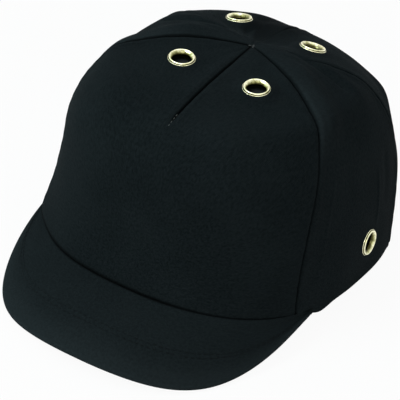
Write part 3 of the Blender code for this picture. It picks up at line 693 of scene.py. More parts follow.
def sew(name, path, normals, body, material, slot, stitch=STITCH, gap=STITCH_GAP, radius=THREAD_RADIUS):
    """Row of stitches: rounded threads laid end to end along a path, each sunk at its ends.

    A thread's radius is that of an ellipsoid, and its lift off the path falls with the fourth power of the
    distance from its middle.
    """
    lengths = np.concatenate([[0.0], np.cumsum(np.linalg.norm(np.diff(path, axis=0), axis=-1))])
    count = max(1, int(lengths[-1] / (stitch + gap)))
    centres = (np.arange(count) + 0.5) * (stitch + gap)
    along = np.linspace(-1.0, 1.0, STITCH_STATIONS)
    around = full_turn(THREAD_SIDES)
    places = centres[:, None] + 0.5 * stitch * along[None, :]

    def sample(values, at):
        """Values of the path at lengths along it."""
        return np.stack([np.interp(at, lengths, values[:, axis]) for axis in range(3)], -1)

    spine = sample(path, places)
    out = unit(sample(normals, places))
    forward = unit(sample(path, places + DIFF) - sample(path, places - DIFF))
    side = unit(np.cross(out, forward))
    thick = radius * np.sqrt((1.0 - along**2) * (1.0 - THREAD_TIP) + THREAD_TIP)[None, :, None, None]
    lift = radius * (THREAD_LIFT - THREAD_DIP * along**4)[None, :, None]
    cosine, sine = np.cos(around)[:, None], np.sin(around)[:, None]
    ring = cosine * side[:, :, None] + sine * out[:, :, None]
    points = (spine + out * lift)[:, :, None] + ring * thick
    size = STITCH_STATIONS * THREAD_SIDES
    starts = (np.arange(count) * size)[:, None, None]
    quads = grid_faces(STITCH_STATIONS, THREAD_SIDES, wrap_columns=True)[None] + starts
    first = np.arange(THREAD_SIDES)
    ends = np.stack([first[::-1], first + size - THREAD_SIDES])[None] + starts
    faces = quads.reshape(-1, 4).tolist() + ends.reshape(-1, THREAD_SIDES).tolist()
    return settle(add_object(name, points, faces, material), body, slot)


# ================================================================ cloth relief
# A sewn seam: its groove, the soft roll beside it, its puckers, and the edge of the allowance beneath.
SEAM_GROOVE, SEAM_GROOVE_WIDTH = 1.60 * MM, 0.55 * MM
SEAM_ROLL, SEAM_ROLL_PLACE, SEAM_ROLL_WIDTH = 0.45 * MM, 2.8 * MM, 2.0 * MM
PUCKER, PUCKER_PITCH, PUCKER_FADE = 0.12 * MM, 7.5 * MM, 3.5 * MM
PUCKER_WAVER, PUCKER_WAVER_SIZE = 2.0, 50.0 * MM
ALLOWANCE, ALLOWANCE_EDGE = 0.10 * MM, (6.8 * MM, 8.2 * MM)

# The seams behind the front ones melt into the gathers: the rise where each starts to, over what run of
# rise, and the share of its relief that goes.
MELT_RISE_LEFT_SIDE, MELT_RISE = 0.78, 0.60
MELT_RUN = 0.12
MELT_SHARE = 0.88

# The soft cloth of the right rear panel lets its eyelet lean and lifts it a little.
RIGHT_REAR_LEAN = 0.17
LEAN_LIFT = 0.5 * MM
SEAT_REACH = 14.5 * MM
SEAT_DEPTH = 6.0 * MM
SEAT_SINK = 0.05 * MM
SEAT_RING, SEAT_RING_OFFSET, SEAT_RING_WIDTH = 0.22 * MM, 1.2 * MM, 1.1 * MM
HOLE_MARGIN = 1.1 * MM

# Rough length of the cloth from hem to apex, which turns rises into lengths.
CLIMB = 150.0 * MM
# The shares of a fold's length over which it swells and fades.
FOLD_START, FOLD_END = (-0.12, 0.25), (0.70, 1.12)


def seam_relief(gap, along, seed):
    """Height of the cloth at a distance from a seam.

    A sharp groove, a soft roll beside it, small puckers that fade away from the thread, and the step of
    the seam allowance beneath.
    """
    groove = -SEAM_GROOVE * bell(gap, 0.0, SEAM_GROOVE_WIDTH)
    roll = SEAM_ROLL * bell(gap, SEAM_ROLL_PLACE, SEAM_ROLL_WIDTH)
    waver = PUCKER_WAVER * ripple(along, np.zeros_like(along), PUCKER_WAVER_SIZE, seed)
    pucker = PUCKER * np.sin(2.0 * math.pi * along / PUCKER_PITCH + waver) * np.exp(-gap / PUCKER_FADE)
    return groove + roll + pucker + ALLOWANCE * (1.0 - ramp(gap, *ALLOWANCE_EDGE))


def crispness(seam, rise):
    """Sharpness of a seam: the front ones hold theirs, the others melt into the gathers at the apex."""
    if abs(seam[1]) <= FRONT_SEAM[1]:
        return np.ones_like(rise)
    start = MELT_RISE_LEFT_SIDE if 0.0 < seam[1] < REAR else MELT_RISE
    return 1.0 - MELT_SHARE * ramp(rise, start, start + MELT_RUN)


def eyelet_seat(place):
    """Seat of an eyelet on the crown; the right rear one leans."""
    origin, axes = crown_frame(*EYELET_SEATS[place])
    if place != "rear_right":
        return origin, axes
    out = unit(axes[2] + RIGHT_REAR_LEAN * axes[0])
    across = unit(np.cross(axes[1], out))
    return origin + LEAN_LIFT * out, np.stack([across, np.cross(out, across), out])


def flatten_at_eyelets(points):
    """Press the cloth onto the flat seat of each eyelet, and say which points its hole keeps.

    Near a seat the cloth's height blends into a flat with a low ring round the flange.
    """
    keep = np.ones(points.shape[:-1], bool)
    for place in EYELET_SEATS:
        origin, axes = eyelet_seat(place)
        local = (points - origin) @ axes.T
        apart = np.hypot(local[..., 0], local[..., 1])
        level = local[..., 2]
        close = np.abs(level) < SEAT_DEPTH
        near = (1.0 - ramp(apart, FLANGE_RADIUS, SEAT_REACH)) * close
        ring = SEAT_RING * bell(apart, FLANGE_RADIUS + SEAT_RING_OFFSET, SEAT_RING_WIDTH)
        height = level * (1.0 - near) + near * (ring - SEAT_SINK)
        points = points + (height - level)[..., None] * axes[2]
        keep &= ~((apart < EYELET_HOLE + HOLE_MARGIN) & close)
    return points, keep


def fold(angle, rise, start, end, width, height):
    """Long soft fold between two (degrees, rise) places on the crown, tapering at both ends.

    Its section is a bell of the distance from the line between the places; width and height are in
    millimetres.
    """
    reach = crown_radius(0.5 * math.radians(start[0] + end[0]), 0.5 * (start[1] + end[1]))
    across, along = reach * angle, CLIMB * rise
    first = np.array([reach * math.radians(start[0]), CLIMB * start[1]])
    run = np.array([reach * math.radians(end[0]), CLIMB * end[1]]) - first
    span = np.linalg.norm(run)
    share = ((across - first[0]) * run[0] + (along - first[1]) * run[1]) / span**2
    apart = ((across - first[0]) * run[1] - (along - first[1]) * run[0]) / span
    ends = ramp(share, *FOLD_START) * (1.0 - ramp(share, *FOLD_END))
    return height * MM * bell(apart, 0.0, width * MM) * ends


# ================================================================ the cloth's slack places
# Each fold: start, end, width and height; its places are (degrees from the front, rise), and the rest is
# in millimetres. The side folds lie on both sides; the rear ones count on round past the wearer's left.
SIDE_FOLDS = (
    ((110.5, 0.925), (98.0, 0.835), 2.0, -1.7),
    ((98.5, 0.84), (94.0, 0.70), 2.4, -1.6),
    ((106.0, 0.84), (98.0, 0.66), 3.4, 0.9),
    ((88.0, 0.93), (84.0, 0.76), 2.6, -0.6),
    ((94.5, 0.37), (96.5, 0.13), 1.3, 0.6),
    ((101.0, 0.42), (103.0, 0.20), 4.0, -0.7),
    ((72.0, 0.48), (74.0, 0.30), 6.0, -0.5),
)
REAR_FOLDS = (
    ((222.0, 0.95), (189.0, 0.56), 3.0, -1.2),
    ((206.0, 0.90), (200.0, 0.62), 2.6, 0.8),
    ((240.0, 0.96), (236.0, 0.80), 3.0, -0.8),
    ((150.0, 0.93), (152.0, 0.70), 3.5, -0.8),
)
# Each swell or hollow: height in millimetres, middle and spread in degrees, middle and spread in rise.
SWELLS = (
    (2.1, 134.0, 9.0, 0.45, 0.038),
    (-1.4, 128.0, 11.0, 0.31, 0.060),
    (2.2, 205.0, 17.0, 0.62, 0.15),
    (-1.2, 200.0, 28.0, 0.83, 0.085),
)
SHOULDER, SHOULDER_RISE, SHOULDER_SPREAD = 2.3 * MM, 0.665, 0.064
SHOULDER_START, SHOULDER_EASE, SHOULDER_EASED = (2.0, 26.0), (95.0, 120.0), 0.8
FULL_ROLL, FULL_ROLL_PLACE, FULL_ROLL_WIDTH = 3.0 * MM, 10.0 * MM, 8.0 * MM
FULL_ROLL_START, FULL_ROLL_RUN, FULL_ROLL_EASE = {"left": 0.50, "right": 0.66}, 0.20, (0.84, 0.95)
FULL_ROLL_FOOT = (0.2 * MM, 1.0 * MM)
RIGHT_DENT, DENT_RISE, DENT_SPREAD = 3.7 * MM, 0.615, 0.115
DENT_START, DENT_END = (63.5, 78.0), (98.0, 111.0)
# The faint waves, and the lengths that turn the angle's sine and cosine into places on them.
WAVE, WAVE_SIZE, WAVE_SEED = 0.5 * MM, 52.0 * MM, 0.9
WAVE_SIDEWAYS, WAVE_FORWARD = 131.6 * MM, 50.0 * MM


def shoulder(away, rise):
    """Firm bend where the crown's top turns down into its sides, strongest beside the front."""
    strength = ramp(away, *SHOULDER_START) * (1.0 - SHOULDER_EASED * ramp(away, *SHOULDER_EASE))
    return SHOULDER * strength * bell(rise, SHOULDER_RISE, SHOULDER_SPREAD)


def behind_seam(angle, rise):
    """Distance along the crown behind the front seam of the same side."""
    return (np.abs(angle) - seam_angle(FRONT_SEAM, rise)) * crown_radius(angle, rise)


def roll_beside_seam(angle, rise):
    """Full roll of cloth behind a front seam: a bell of the distance behind it, and nothing in front."""
    behind = behind_seam(angle, rise)
    start = np.where(angle > 0.0, FULL_ROLL_START["left"], FULL_ROLL_START["right"])
    fade = ramp(rise - start, 0.0, FULL_ROLL_RUN) * (1.0 - 0.5 * ramp(rise, *FULL_ROLL_EASE))
    crest = bell(behind, FULL_ROLL_PLACE, FULL_ROLL_WIDTH) * ramp(behind, *FULL_ROLL_FOOT)
    return FULL_ROLL * crest * fade


def slack(angle, rise):
    """Relief that runs on over the seams: the shoulder, rolls, swells, hollows, folds and faint waves."""
    away = np.abs(np.degrees(angle))
    turn = np.degrees(angle) % 360.0
    across, along = WAVE_SIDEWAYS * np.sin(angle), CLIMB * rise + WAVE_FORWARD * np.cos(angle)
    waves = WAVE * ripple(across, along, WAVE_SIZE, WAVE_SEED)
    folds = sum(fold(np.abs(angle), rise, *plan) for plan in SIDE_FOLDS)
    folds = folds + sum(fold(np.radians(turn), rise, *plan) for plan in REAR_FOLDS)
    swells = sum(
        height * MM * bell(turn, middle, spread) * bell(rise, level, reach)
        for height, middle, spread, level, reach in SWELLS
    )
    dent = -RIGHT_DENT * (angle < 0.0) * ramp(away, *DENT_START) * (1.0 - ramp(away, *DENT_END))
    dent = dent * bell(rise, DENT_RISE, DENT_SPREAD)
    return shoulder(away, rise) + waves + folds + roll_beside_seam(angle, rise) + dent + swells


# ================================================================ the five crown panels
FRONT_COLUMNS, PANEL_COLUMNS, PANEL_ROWS = 270, 170, 170
PANEL_TOP = 0.9975
CLOTH_WALL = 0.9 * CLOTH
BUNCHING = 0.86
SEAM_LAP = 0.02 * MM
APEX_RADIUS = 0.8 * MM
# The share of the relief that is gone at the apex, and the rises over which it goes.
APEX_FADE, APEX_FADE_RUN = 0.7, (0.90, 0.99)
# Where the hem drops at the front seams, in degrees and rise, and where it tucks down onto the peak.
HEM_DROP, HEM_DROP_PLACE, HEM_DROP_SPREAD, HEM_DROP_RISE = 3.3 * MM, 63.5, 5.0, 0.12
HEM_TUCK, HEM_TUCK_END, HEM_TUCK_RISE = 1.2 * MM, 60.0, 0.015
# Where the hem stands out over the peak's right end: its reach, the hollow above, and their place.
HEM_FLARE, HEM_FLARE_RISE = 1.8 * MM, 0.14
FLARE_HOLLOW, HOLLOW_RISE, HOLLOW_SPREAD = 1.0 * MM, 0.25, 0.08
HEM_FLARE_PLACE, HEM_FLARE_SPREAD = -53.0, 11.0
# The dart lies in a valley, with the left half of the front lower beside it and a swell where it ends.
DART_SEWN, DART_SEED = (DART_RISE - 0.005, DART_RISE + 0.05), 0.4
VALLEY, VALLEY_WIDTH, VALLEY_RUN = 0.6 * MM, 2.8 * MM, 0.16
LEFT_FALL, LEFT_FALL_ACROSS, LEFT_FALL_RUN = 1.4 * MM, (1.0 * MM, 24.0 * MM), 0.12
SEAM_FALL, SEAM_FALL_ACROSS = 0.35, (0.5 * MM, 9.0 * MM)
DART_END, DART_END_WIDTH = 0.5 * MM, 10.0 * MM
DART_END_RISE, DART_END_SPREAD = DART_RISE - 0.01, 0.05
WIDE_ALLOWANCE, WIDE_ALLOWANCE_PLACE, WIDE_ALLOWANCE_WIDTH = 0.35 * MM, 13.5 * MM, 1.0 * MM
WIDE_ALLOWANCE_RISE, WIDE_ALLOWANCE_SPREAD = 0.29, 0.16
REAR_PULL, REAR_PULL_RUN = 0.6 * MM, (0.25, 0.6)
# The cloth sinks no deeper than the first height over a seam's tape, and the second past the tape's edge.
OVER_TAPE, OVER_SHELL, TAPE_EDGE = -1.65 * MM, -5.15 * MM, (4.2 * MM, 8.0 * MM)
# Painted shade in the seams, the dart, the crease at the hem and on the slack rear cloth, and painted light
# on the rolls behind the front seams: their widths, strengths, places and runs.
SEAM_DARK_WIDTH = {"left": 0.52 * MM, "right": 0.85 * MM}
SEAM_DARK_BELOW, SEAM_DARK_GAIN, SEAM_DARK_RUN = 0.55, 0.45, (0.55, 0.85)
DART_DARK_WIDTH = 0.80 * MM
HEM_DARK, HEM_DARK_WIDTH = 0.9, 0.35 * MM
REAR_SHADE, REAR_SHADE_PLACE, REAR_SHADE_SPREAD = 0.62, 194.0, 25.0
REAR_SHADE_START, REAR_SHADE_END = (0.40, 0.60), (0.80, 0.97)
PAINTED_ROLL_LIGHT, PAINTED_ROLL_LIGHT_PLACE, PAINTED_ROLL_LIGHT_WIDTH = 0.42, 4.0 * MM, 6.5 * MM
PAINTED_ROLL_LIGHT_FOOT = (0.0, 1.0 * MM)
PAINTED_ROLL_LIGHT_START, PAINTED_ROLL_LIGHT_EASE, PAINTED_ROLL_LIGHT_EASED = (0.50, 0.66), (0.78, 0.90), 0.75
PAINTED_EDGE_LIGHT, PAINTED_EDGE_LIGHT_PLACE, PAINTED_EDGE_LIGHT_WIDTH = 0.7, 1.9 * MM, 1.1 * MM


def front_shape(angle, rise, _):
    """Relief of the front panel: the dart in its valley, with the left half lower beside it."""
    beside = np.abs(angle) * crown_radius(angle, rise)
    sewn_and_painted_shade = ramp(rise, *DART_SEWN)
    valley = VALLEY * bell(beside, 0.0, VALLEY_WIDTH) * ramp(rise, DART_RISE, DART_RISE + VALLEY_RUN)
    fall = LEFT_FALL * (angle > 0.0) * ramp(beside, *LEFT_FALL_ACROSS)
    fall = fall * ramp(rise, DART_RISE, DART_RISE + LEFT_FALL_RUN)
    fall = fall * (SEAM_FALL + (1.0 - SEAM_FALL) * ramp(-behind_seam(angle, rise), *SEAM_FALL_ACROSS))
    swell = DART_END * bell(beside, 0.0, DART_END_WIDTH) * bell(rise, DART_END_RISE, DART_END_SPREAD)
    return seam_relief(beside, CLIMB * rise, DART_SEED) * sewn_and_painted_shade - valley - fall + swell


def side_shape(angle, rise, _):
    """Relief of a side panel: the edge of a wide allowance under the cloth."""
    edge = bell(behind_seam(angle, rise), WIDE_ALLOWANCE_PLACE, WIDE_ALLOWANCE_WIDTH)
    return WIDE_ALLOWANCE * edge * bell(rise, WIDE_ALLOWANCE_RISE, WIDE_ALLOWANCE_SPREAD)


def rear_shape(_, rise, share):
    """Relief of a rear panel: unlined cloth pulled flat between its seams."""
    return -REAR_PULL * np.sin(math.pi * share) * ramp(rise, *REAR_PULL_RUN)


def hem_flare(angles, rises):
    """The right front of the hem stands out over the peak's end, with a hollow above it."""
    reach = HEM_FLARE * (1.0 - ramp(rises, 0.0, HEM_FLARE_RISE))
    hollow = FLARE_HOLLOW * bell(rises, HOLLOW_RISE, HOLLOW_SPREAD)
    return (reach - hollow) * bell(np.degrees(angles), HEM_FLARE_PLACE, HEM_FLARE_SPREAD)


def spread(count, stops):
    """Even shares from 0 to 1 drawn close together at the seams: t - a sin(2 pi n t) / (2 pi n)."""
    even = np.linspace(0.0, 1.0, count)
    return even - BUNCHING * np.sin(2.0 * math.pi * stops * even) / (2.0 * math.pi * stops)


def panel_grid(first, second, columns, stops):
    """Angles and rises of the cloth between two seams, whose columns are drawn close at the seams.

    Neighbours lap by a hair, so that no light passes between them.
    """
    share = spread(columns, stops)[None, :]
    rise = np.linspace(0.0, PANEL_TOP, PANEL_ROWS)[:, None]
    low, high = seam_angle(first, rise), seam_angle(second, rise)
    lap = SEAM_LAP / np.maximum(crown_radius(0.5 * (low + high), rise), APEX_RADIUS)
    angles = (low - lap) * (1.0 - share) + (high + lap) * share
    angles, rises = np.broadcast_arrays(angles, rise)
    width = crown_radius(angles, rises) * (high - low)
    return angles, rises, share, (width * share, width * (1.0 - share))


def drape(angles, rises, height):
    """The crown's face raised by the cloth's height; the hem drops at the front seams and onto the peak."""
    grid = crown_base(angles, rises) + crown_normal(angles, rises) * height[..., None]
    away = np.abs(np.degrees(angles))
    drop = HEM_DROP * bell(away, HEM_DROP_PLACE, HEM_DROP_SPREAD) * (1.0 - ramp(rises, 0.0, HEM_DROP_RISE))
    tuck = HEM_TUCK * (away < HEM_TUCK_END) * (1.0 - ramp(rises, 0.0, HEM_TUCK_RISE))
    grid[..., 2] -= drop + tuck
    return grid


def painted_seam_shade(angles, rises, gaps, crisp):
    """Painted shade in a panel's seams: a bell of the distance from the thread, deeper towards the apex."""
    wide = np.where(angles < 0.0, SEAM_DARK_WIDTH["right"], SEAM_DARK_WIDTH["left"])
    dark = np.maximum(bell(gaps[0], 0.0, wide) * crisp[0], bell(gaps[1], 0.0, wide) * crisp[1])
    return dark * (SEAM_DARK_BELOW + SEAM_DARK_GAIN * ramp(rises, *SEAM_DARK_RUN))


def painted_front_shade(angles, rises):
    """Painted shade in the dart and in the fold between the front panel and the peak."""
    beside = np.abs(angles) * crown_radius(angles, rises)
    dart = bell(beside, 0.0, DART_DARK_WIDTH) * ramp(rises, DART_RISE, DART_SEWN[1])
    return np.maximum(dart, HEM_DARK * bell(CLIMB * rises, 0.0, HEM_DARK_WIDTH))


def painted_rear_shade(angles, rises):
    """Painted shade, deep and soft, on the cloth that hangs slack beside the rear seam."""
    shade = REAR_SHADE * bell(np.degrees(angles) % 360.0, REAR_SHADE_PLACE, REAR_SHADE_SPREAD)
    return shade * ramp(rises, *REAR_SHADE_START) * (1.0 - ramp(rises, *REAR_SHADE_END))


def painted_light_on_rolls(angles, rises):
    """Painted light: paler cloth along the rolls behind the front seams, where they catch the light."""
    behind = behind_seam(angles, rises)
    broad = bell(behind, PAINTED_ROLL_LIGHT_PLACE, PAINTED_ROLL_LIGHT_WIDTH) * ramp(behind, *PAINTED_ROLL_LIGHT_FOOT)
    edge = PAINTED_EDGE_LIGHT * bell(behind, PAINTED_EDGE_LIGHT_PLACE, PAINTED_EDGE_LIGHT_WIDTH)
    return PAINTED_ROLL_LIGHT * (broad + edge) * ramp(rises, *PAINTED_ROLL_LIGHT_START) * (1.0 - PAINTED_ROLL_LIGHT_EASED * ramp(rises, *PAINTED_ROLL_LIGHT_EASE))


def outside_rear_opening(angles, rises):
    """True where the cloth stays round the half-moon opening."""
    turn = (angles - REAR + math.pi) % (2.0 * math.pi) - math.pi
    return (turn / OPENING_ANGLE) ** 2 + (rises / OPENING_RISE) ** 2 > 1.0


def build_panel(name, first, second, columns, stops, shape, seed):
    """Cloth between two seams from hem to apex, cut for its eyelets and the rear opening.

    Its height is the relief of its seams, its own shape and the slack, which fade at the apex.
    """
    angles, rises, share, gaps = panel_grid(first, second, columns, stops)
    along = CLIMB * rises
    crisp = (crispness(first, rises), crispness(second, rises))
    seams = seam_relief(gaps[0], along, seed) * crisp[0] + seam_relief(gaps[1], along, seed + 1.0) * crisp[1]
    fade = 1.0 - APEX_FADE * ramp(rises, *APEX_FADE_RUN)
    height = (seams + shape(angles, rises, share) + slack(angles, rises)) * fade + hem_flare(angles, rises)
    lowest = OVER_TAPE + (OVER_SHELL - OVER_TAPE) * ramp(np.minimum(*gaps), *TAPE_EDGE)
    grid, keep = flatten_at_eyelets(drape(angles, rises, np.maximum(height, lowest)))
    # Painted shade in the seams, the crease at the hem and the slack rear cloth; painted light on the rolls.
    sewn_and_painted_shade = np.maximum(painted_seam_shade(angles, rises, gaps, crisp), painted_rear_shade(angles, rises))
    if "front" in name:
        sewn_and_painted_shade = np.maximum(sewn_and_painted_shade, painted_front_shade(angles, rises))
    if "rear" in name:
        keep &= outside_rear_opening(angles, rises)
    marks = {"sewn_and_painted_shade": sewn_and_painted_shade, "painted_light": painted_light_on_rolls(angles, rises)}
    obj = thicken(add_grid(f"{name}_cloth", grid, TWILL, keep=keep, marks=marks), CLOTH_WALL)
    settle(obj, "crown", "cap_twill", name)


def build_panels():
    """Front, side and rear panels."""
    right_front, right_side, right_rear = opposite(FRONT_SEAM), opposite(SIDE_SEAM), opposite(REAR_SEAM)
    plans = {
        "front_panel": (right_front, FRONT_SEAM, FRONT_COLUMNS, 2, front_shape),
        "left_side_panel": (FRONT_SEAM, SIDE_SEAM, PANEL_COLUMNS, 1, side_shape),
        "right_side_panel": (right_side, right_front, PANEL_COLUMNS, 1, side_shape),
        "left_rear_panel": (SIDE_SEAM, REAR_SEAM, PANEL_COLUMNS, 1, rear_shape),
        "right_rear_panel": (right_rear, right_side, PANEL_COLUMNS, 1, rear_shape),
    }
    for seed, (name, plan) in enumerate(plans.items()):
        build_panel(name, *plan, seed)


# The dart's stitches: their size, the rises they run between, their angle, and how deep they lie (they
# stand outside the crown's face, so it is less than 0).
DART_STITCH, DART_STITCH_GAP, DART_THREAD = 1.5 * MM, 1.1 * MM, 0.20 * MM
DART_STITCH_RUN = (DART_RISE - 0.012, DART_RISE + 0.062)
DART_STITCH_ANGLE, DART_STITCH_DEPTH = 0.004, -0.4 * MM
TACK_STITCH, TACK_STITCH_GAP, TACK_THREAD = 1.6 * MM, 0.6 * MM, 0.18 * MM
TACK_HALF = 2.2 * MM
TACK_LIFT = 0.3 * MM
TACK_TURNS = (-0.5, 0.2, 0.9)


def stitch_dart():
    """The last stitches of the dart, which show on the outside, and the bar tack at the apex."""
    rises = np.linspace(*DART_STITCH_RUN, 60)
    angles = np.full_like(rises, DART_STITCH_ANGLE)
    path = crown_point(angles, rises, np.full_like(rises, DART_STITCH_DEPTH))
    dart = (DART_STITCH, DART_STITCH_GAP, DART_THREAD)
    sew("dart_stitching", path, crown_normal(angles, rises), "crown", PALE_AND_HIGHLIGHTED_THREAD, "cap_twill", *dart)
    reach = np.linspace(-TACK_HALF, TACK_HALF, 30)
    up = np.tile([0.0, 0.0, 1.0], (len(reach), 1))
    tack = (TACK_STITCH, TACK_STITCH_GAP, TACK_THREAD)
    for number, turn in enumerate(TACK_TURNS):
        height = np.full_like(reach, CROWN_HEIGHT + TACK_LIFT * (number - 1))
        bar = np.stack([reach * math.cos(turn), reach * math.sin(turn), height], -1)
        sew(f"apex_tack_{number}", bar, up, "crown", PALE_AND_HIGHLIGHTED_THREAD, "cap_twill", *tack)


# ================================================================ eyelets
EYELET_STEPS = 96


def turned(name, outline, material, seat):
    """Turn a closed outline of (radius, height, painted shade and tarnish), radius and height in millimetres,
    about the axis of a seat on the crown.
    """
    origin, axes = seat
    turn = full_turn(EYELET_STEPS)
    radius, height, painted_shade_and_tarnish = np.array(outline).T
    around = np.cos(turn)[:, None, None] * axes[0] + np.sin(turn)[:, None, None] * axes[1]
    grid = origin + MM * radius[None, :, None] * around + MM * height[None, :, None] * axes[2]
    return add_grid(name, grid, material, wrap_columns=True, wrap_rows=True, marks={"tarnish_and_painted_shade": painted_shade_and_tarnish[None, :]})


def eyelet_outline():
    """Outline of an eyelet: bore, bell mouth, rolled crest, beaded foot, barrel and clinched end; each
    point's third number is its tarnish and painted shade.
    """
    hole, rim, crest = EYELET_HOLE / MM, FLANGE_RADIUS / MM - 0.15, FLANGE_HEIGHT / MM
    bore = [(hole + 0.05, -3.2, 1.0), (hole, -2.4, 1.0), (hole, -1.7, 1.0), (hole + 0.10, -1.0, 0.95)]
    mouth = [
        (hole + 0.30, -0.40, 0.88), (hole + 0.60, 0.10, 0.74), (hole + 0.95, 0.52, 0.55),
        (hole + 1.30, 0.85, 0.38), (hole + 1.62, 1.10, 0.22), (hole + 1.90, crest - 0.08, 0.08),
    ]
    roll = [
        (hole + 2.10, crest, 0.0), (hole + 2.30, crest - 0.07, 0.0), (hole + 2.45, crest - 0.28, 0.25),
        (hole + 2.56, 0.80, 0.75), (hole + 2.65, 0.50, 0.98), (hole + 2.78, 0.36, 0.85),
    ]
    foot = [
        (hole + 2.92, 0.42, 0.10), (rim - 0.08, 0.34, 0.0), (rim, 0.20, 0.15), (rim - 0.02, 0.05, 0.8),
        (rim - 0.3, 0.02, 1.0),
    ]
    barrel = [(hole + 0.5, 0.02, 1.0), (hole + 0.5, -2.6, 1.0)]
    clinch = [(6.4, -2.7, 0.4), (6.6, -3.0, 0.2), (6.3, -3.2, 0.4)]
    return bore + mouth + roll + foot + barrel + clinch


def washer_outline():
    """Outline of the flat ring behind the cloth, with eased edges."""
    bore, rim = EYELET_HOLE / MM + 0.8, FLANGE_RADIUS / MM - 0.4
    top, foot, ease = -1.9, -2.5, 0.15
    return [
        (bore, top - ease, 0.4), (bore + ease, top, 0.3), (rim - ease, top, 0.3), (rim, top - ease, 0.1),
        (rim, foot + ease, 0.1), (rim - ease, foot, 0.1), (bore + ease, foot, 0.1), (bore, foot + ease, 0.4),
    ]


def build_eyelets():
    """Six brass eyelets and their washers."""
    for place in EYELET_SEATS:
        seat = eyelet_seat(place)
        eyelet = turned(f"{place}_eyelet_brass", eyelet_outline(), BRASS, seat)
        settle(eyelet, "crown", "eyelet_brass", f"{place}_eyelet")
        washer = turned(f"{place}_washer_brass", washer_outline(), BRASS, seat)
        settle(washer, "crown", "eyelet_brass", f"{place}_eyelet_washer")


# ================================================================ peak
# The cloth's grid closes up towards the peak's ends and its hem, and stops just short of the ends.
PEAK_COLUMNS, PEAK_ROWS, PEAK_ROLL_STEPS = 320, 80, 11
PEAK_BUNCHING, PEAK_ROW_POWER = 0.93, 1.15
PEAK_SPAN = 0.99
# Where the peak rounds to nothing at its ends, and the square of the least share of its thickness there.
PEAK_ENDS_ROUND, PEAK_END_LEAST = (0.86, 0.99), 0.01
# Rows of the cloth that tuck in behind the hem, as shares of the reach, and how steeply they dip.
PEAK_TUCK_OUT = (-0.05, -0.025)
PEAK_TUCK_SLOPE = 0.12
# Rows of stitches, as shares of the reach, and how far round they run.
PEAK_STITCH_ROWS = (0.60, 0.655)
PEAK_STITCH_SPAN = 0.90
# The root is fuller on the wearer's left and sags on the right; nothing sinks below the deepest height.
PEAK_FULLNESS, PEAK_SAG = 1.6 * MM, 0.6 * MM
PEAK_FULL_PLACE, PEAK_SAG_PLACE, PEAK_ROOT = (0.05, 0.55), (0.10, 0.60), (0.0, 0.35)
PEAK_HEM_GROOVE, PEAK_HEM_WIDTH = 1.0 * MM, 1.4 * MM
PEAK_WAVE, PEAK_WAVE_SIZE, PEAK_WAVE_SEED = 0.24 * MM, 30.0 * MM, 5.2
PEAK_WAVE_WIDTH, PEAK_WAVE_START = 100.0 * MM, (0.02, 0.2)
STITCH_VALLEY, STITCH_VALLEY_WIDTH = 0.14 * MM, 0.8 * MM
PEAK_DEEPEST = -0.6 * MM
# Painted shade at the peak's root, in the crease under the hem; painted light over the peak, growing towards
# its rolled edge and strongest on the roll.
PEAK_HEM_DARK = (1.2 * MM, 2.8 * MM)
PEAK_PAINTED_LIGHT, PEAK_EDGE_PAINTED_LIGHT, PEAK_ROLL_PAINTED_LIGHT = 0.18, 0.55, 0.85
PEAK_EDGE_RUN = (0.55, 1.0)
PEAK_WALL = 0.8 * PEAK_CLOTH


def peak_top(across, out):
    """Upper face of the peak: across runs -1 to 1 round it, out runs 0 at the hem to 1 at its edge.

    The edge is a superellipse between the peak's two ends; its height dips to the corners. Between the hem
    and the edge the face is straight, plus a sine arch that fades to the ends.
    """
    across, out = np.broadcast_arrays(np.asarray(across, float), np.asarray(out, float))
    inner = crown_point(across * PEAK_HALF_ANGLE, np.zeros_like(across), np.full_like(across, CLOTH))
    inner[..., 2] -= LAYER_GAP
    end, front = crown_base(PEAK_HALF_ANGLE, 0.0), crown_base(0.0, 0.0)
    turn = across * 0.5 * math.pi
    sideways = squared(np.sin(turn), 2.0 / PEAK_POWER)
    forward = squared(np.cos(turn), 2.0 / PEAK_POWER)
    corner = np.sin(np.clip(2.0 * (1.0 - np.abs(across)), 0.0, 1.0) * 0.5 * math.pi)
    middle = np.cos(np.clip(2.0 * np.abs(across), 0.0, 1.0) * 0.5 * math.pi) ** 2
    tip_height = front[2] - PEAK_TIP_DROP
    height = end[2] - (PEAK_CORNER_DROP + end[2]) * corner + (tip_height + PEAK_CORNER_DROP) * middle
    outer_y = end[1] + (front[1] - PEAK_REACH - end[1]) * forward
    outer = np.stack([end[0] * sideways, outer_y, height], -1)
    point = inner * (1.0 - out[..., None]) + outer * out[..., None]
    point[..., 2] += PEAK_ARCH * np.sin(math.pi * out) * (1.0 - across**2)
    return point


def peak_axes(across, out):
    """Upward normal of the peak and the direction out over its edge, by central differences."""
    along = peak_top(across + DIFF, out) - peak_top(across - DIFF, out)
    outward = peak_top(across, out + DIFF) - peak_top(across, out - DIFF)
    normal = unit(np.cross(outward, along))
    return normal, unit(np.cross(along, normal))


def peak_radius(across):
    """Half the peak's thickness: a quarter circle brings it nearly to nothing at its two ends."""
    start, end = PEAK_ENDS_ROUND
    share = np.clip((np.abs(across) - start) / (end - start), 0.0, 1.0)
    return 0.5 * PEAK_THICK * np.sqrt(np.maximum(1.0 - share**2, PEAK_END_LEAST))


def peak_face(across, out):
    """Upper face held back from the edge by the radius of its roll, with its normal and edge direction."""
    normal, edge = peak_axes(across, out)
    across, out = np.broadcast_arrays(across, out)
    return peak_top(across, out) - edge * (peak_radius(across) * out)[..., None], normal, edge


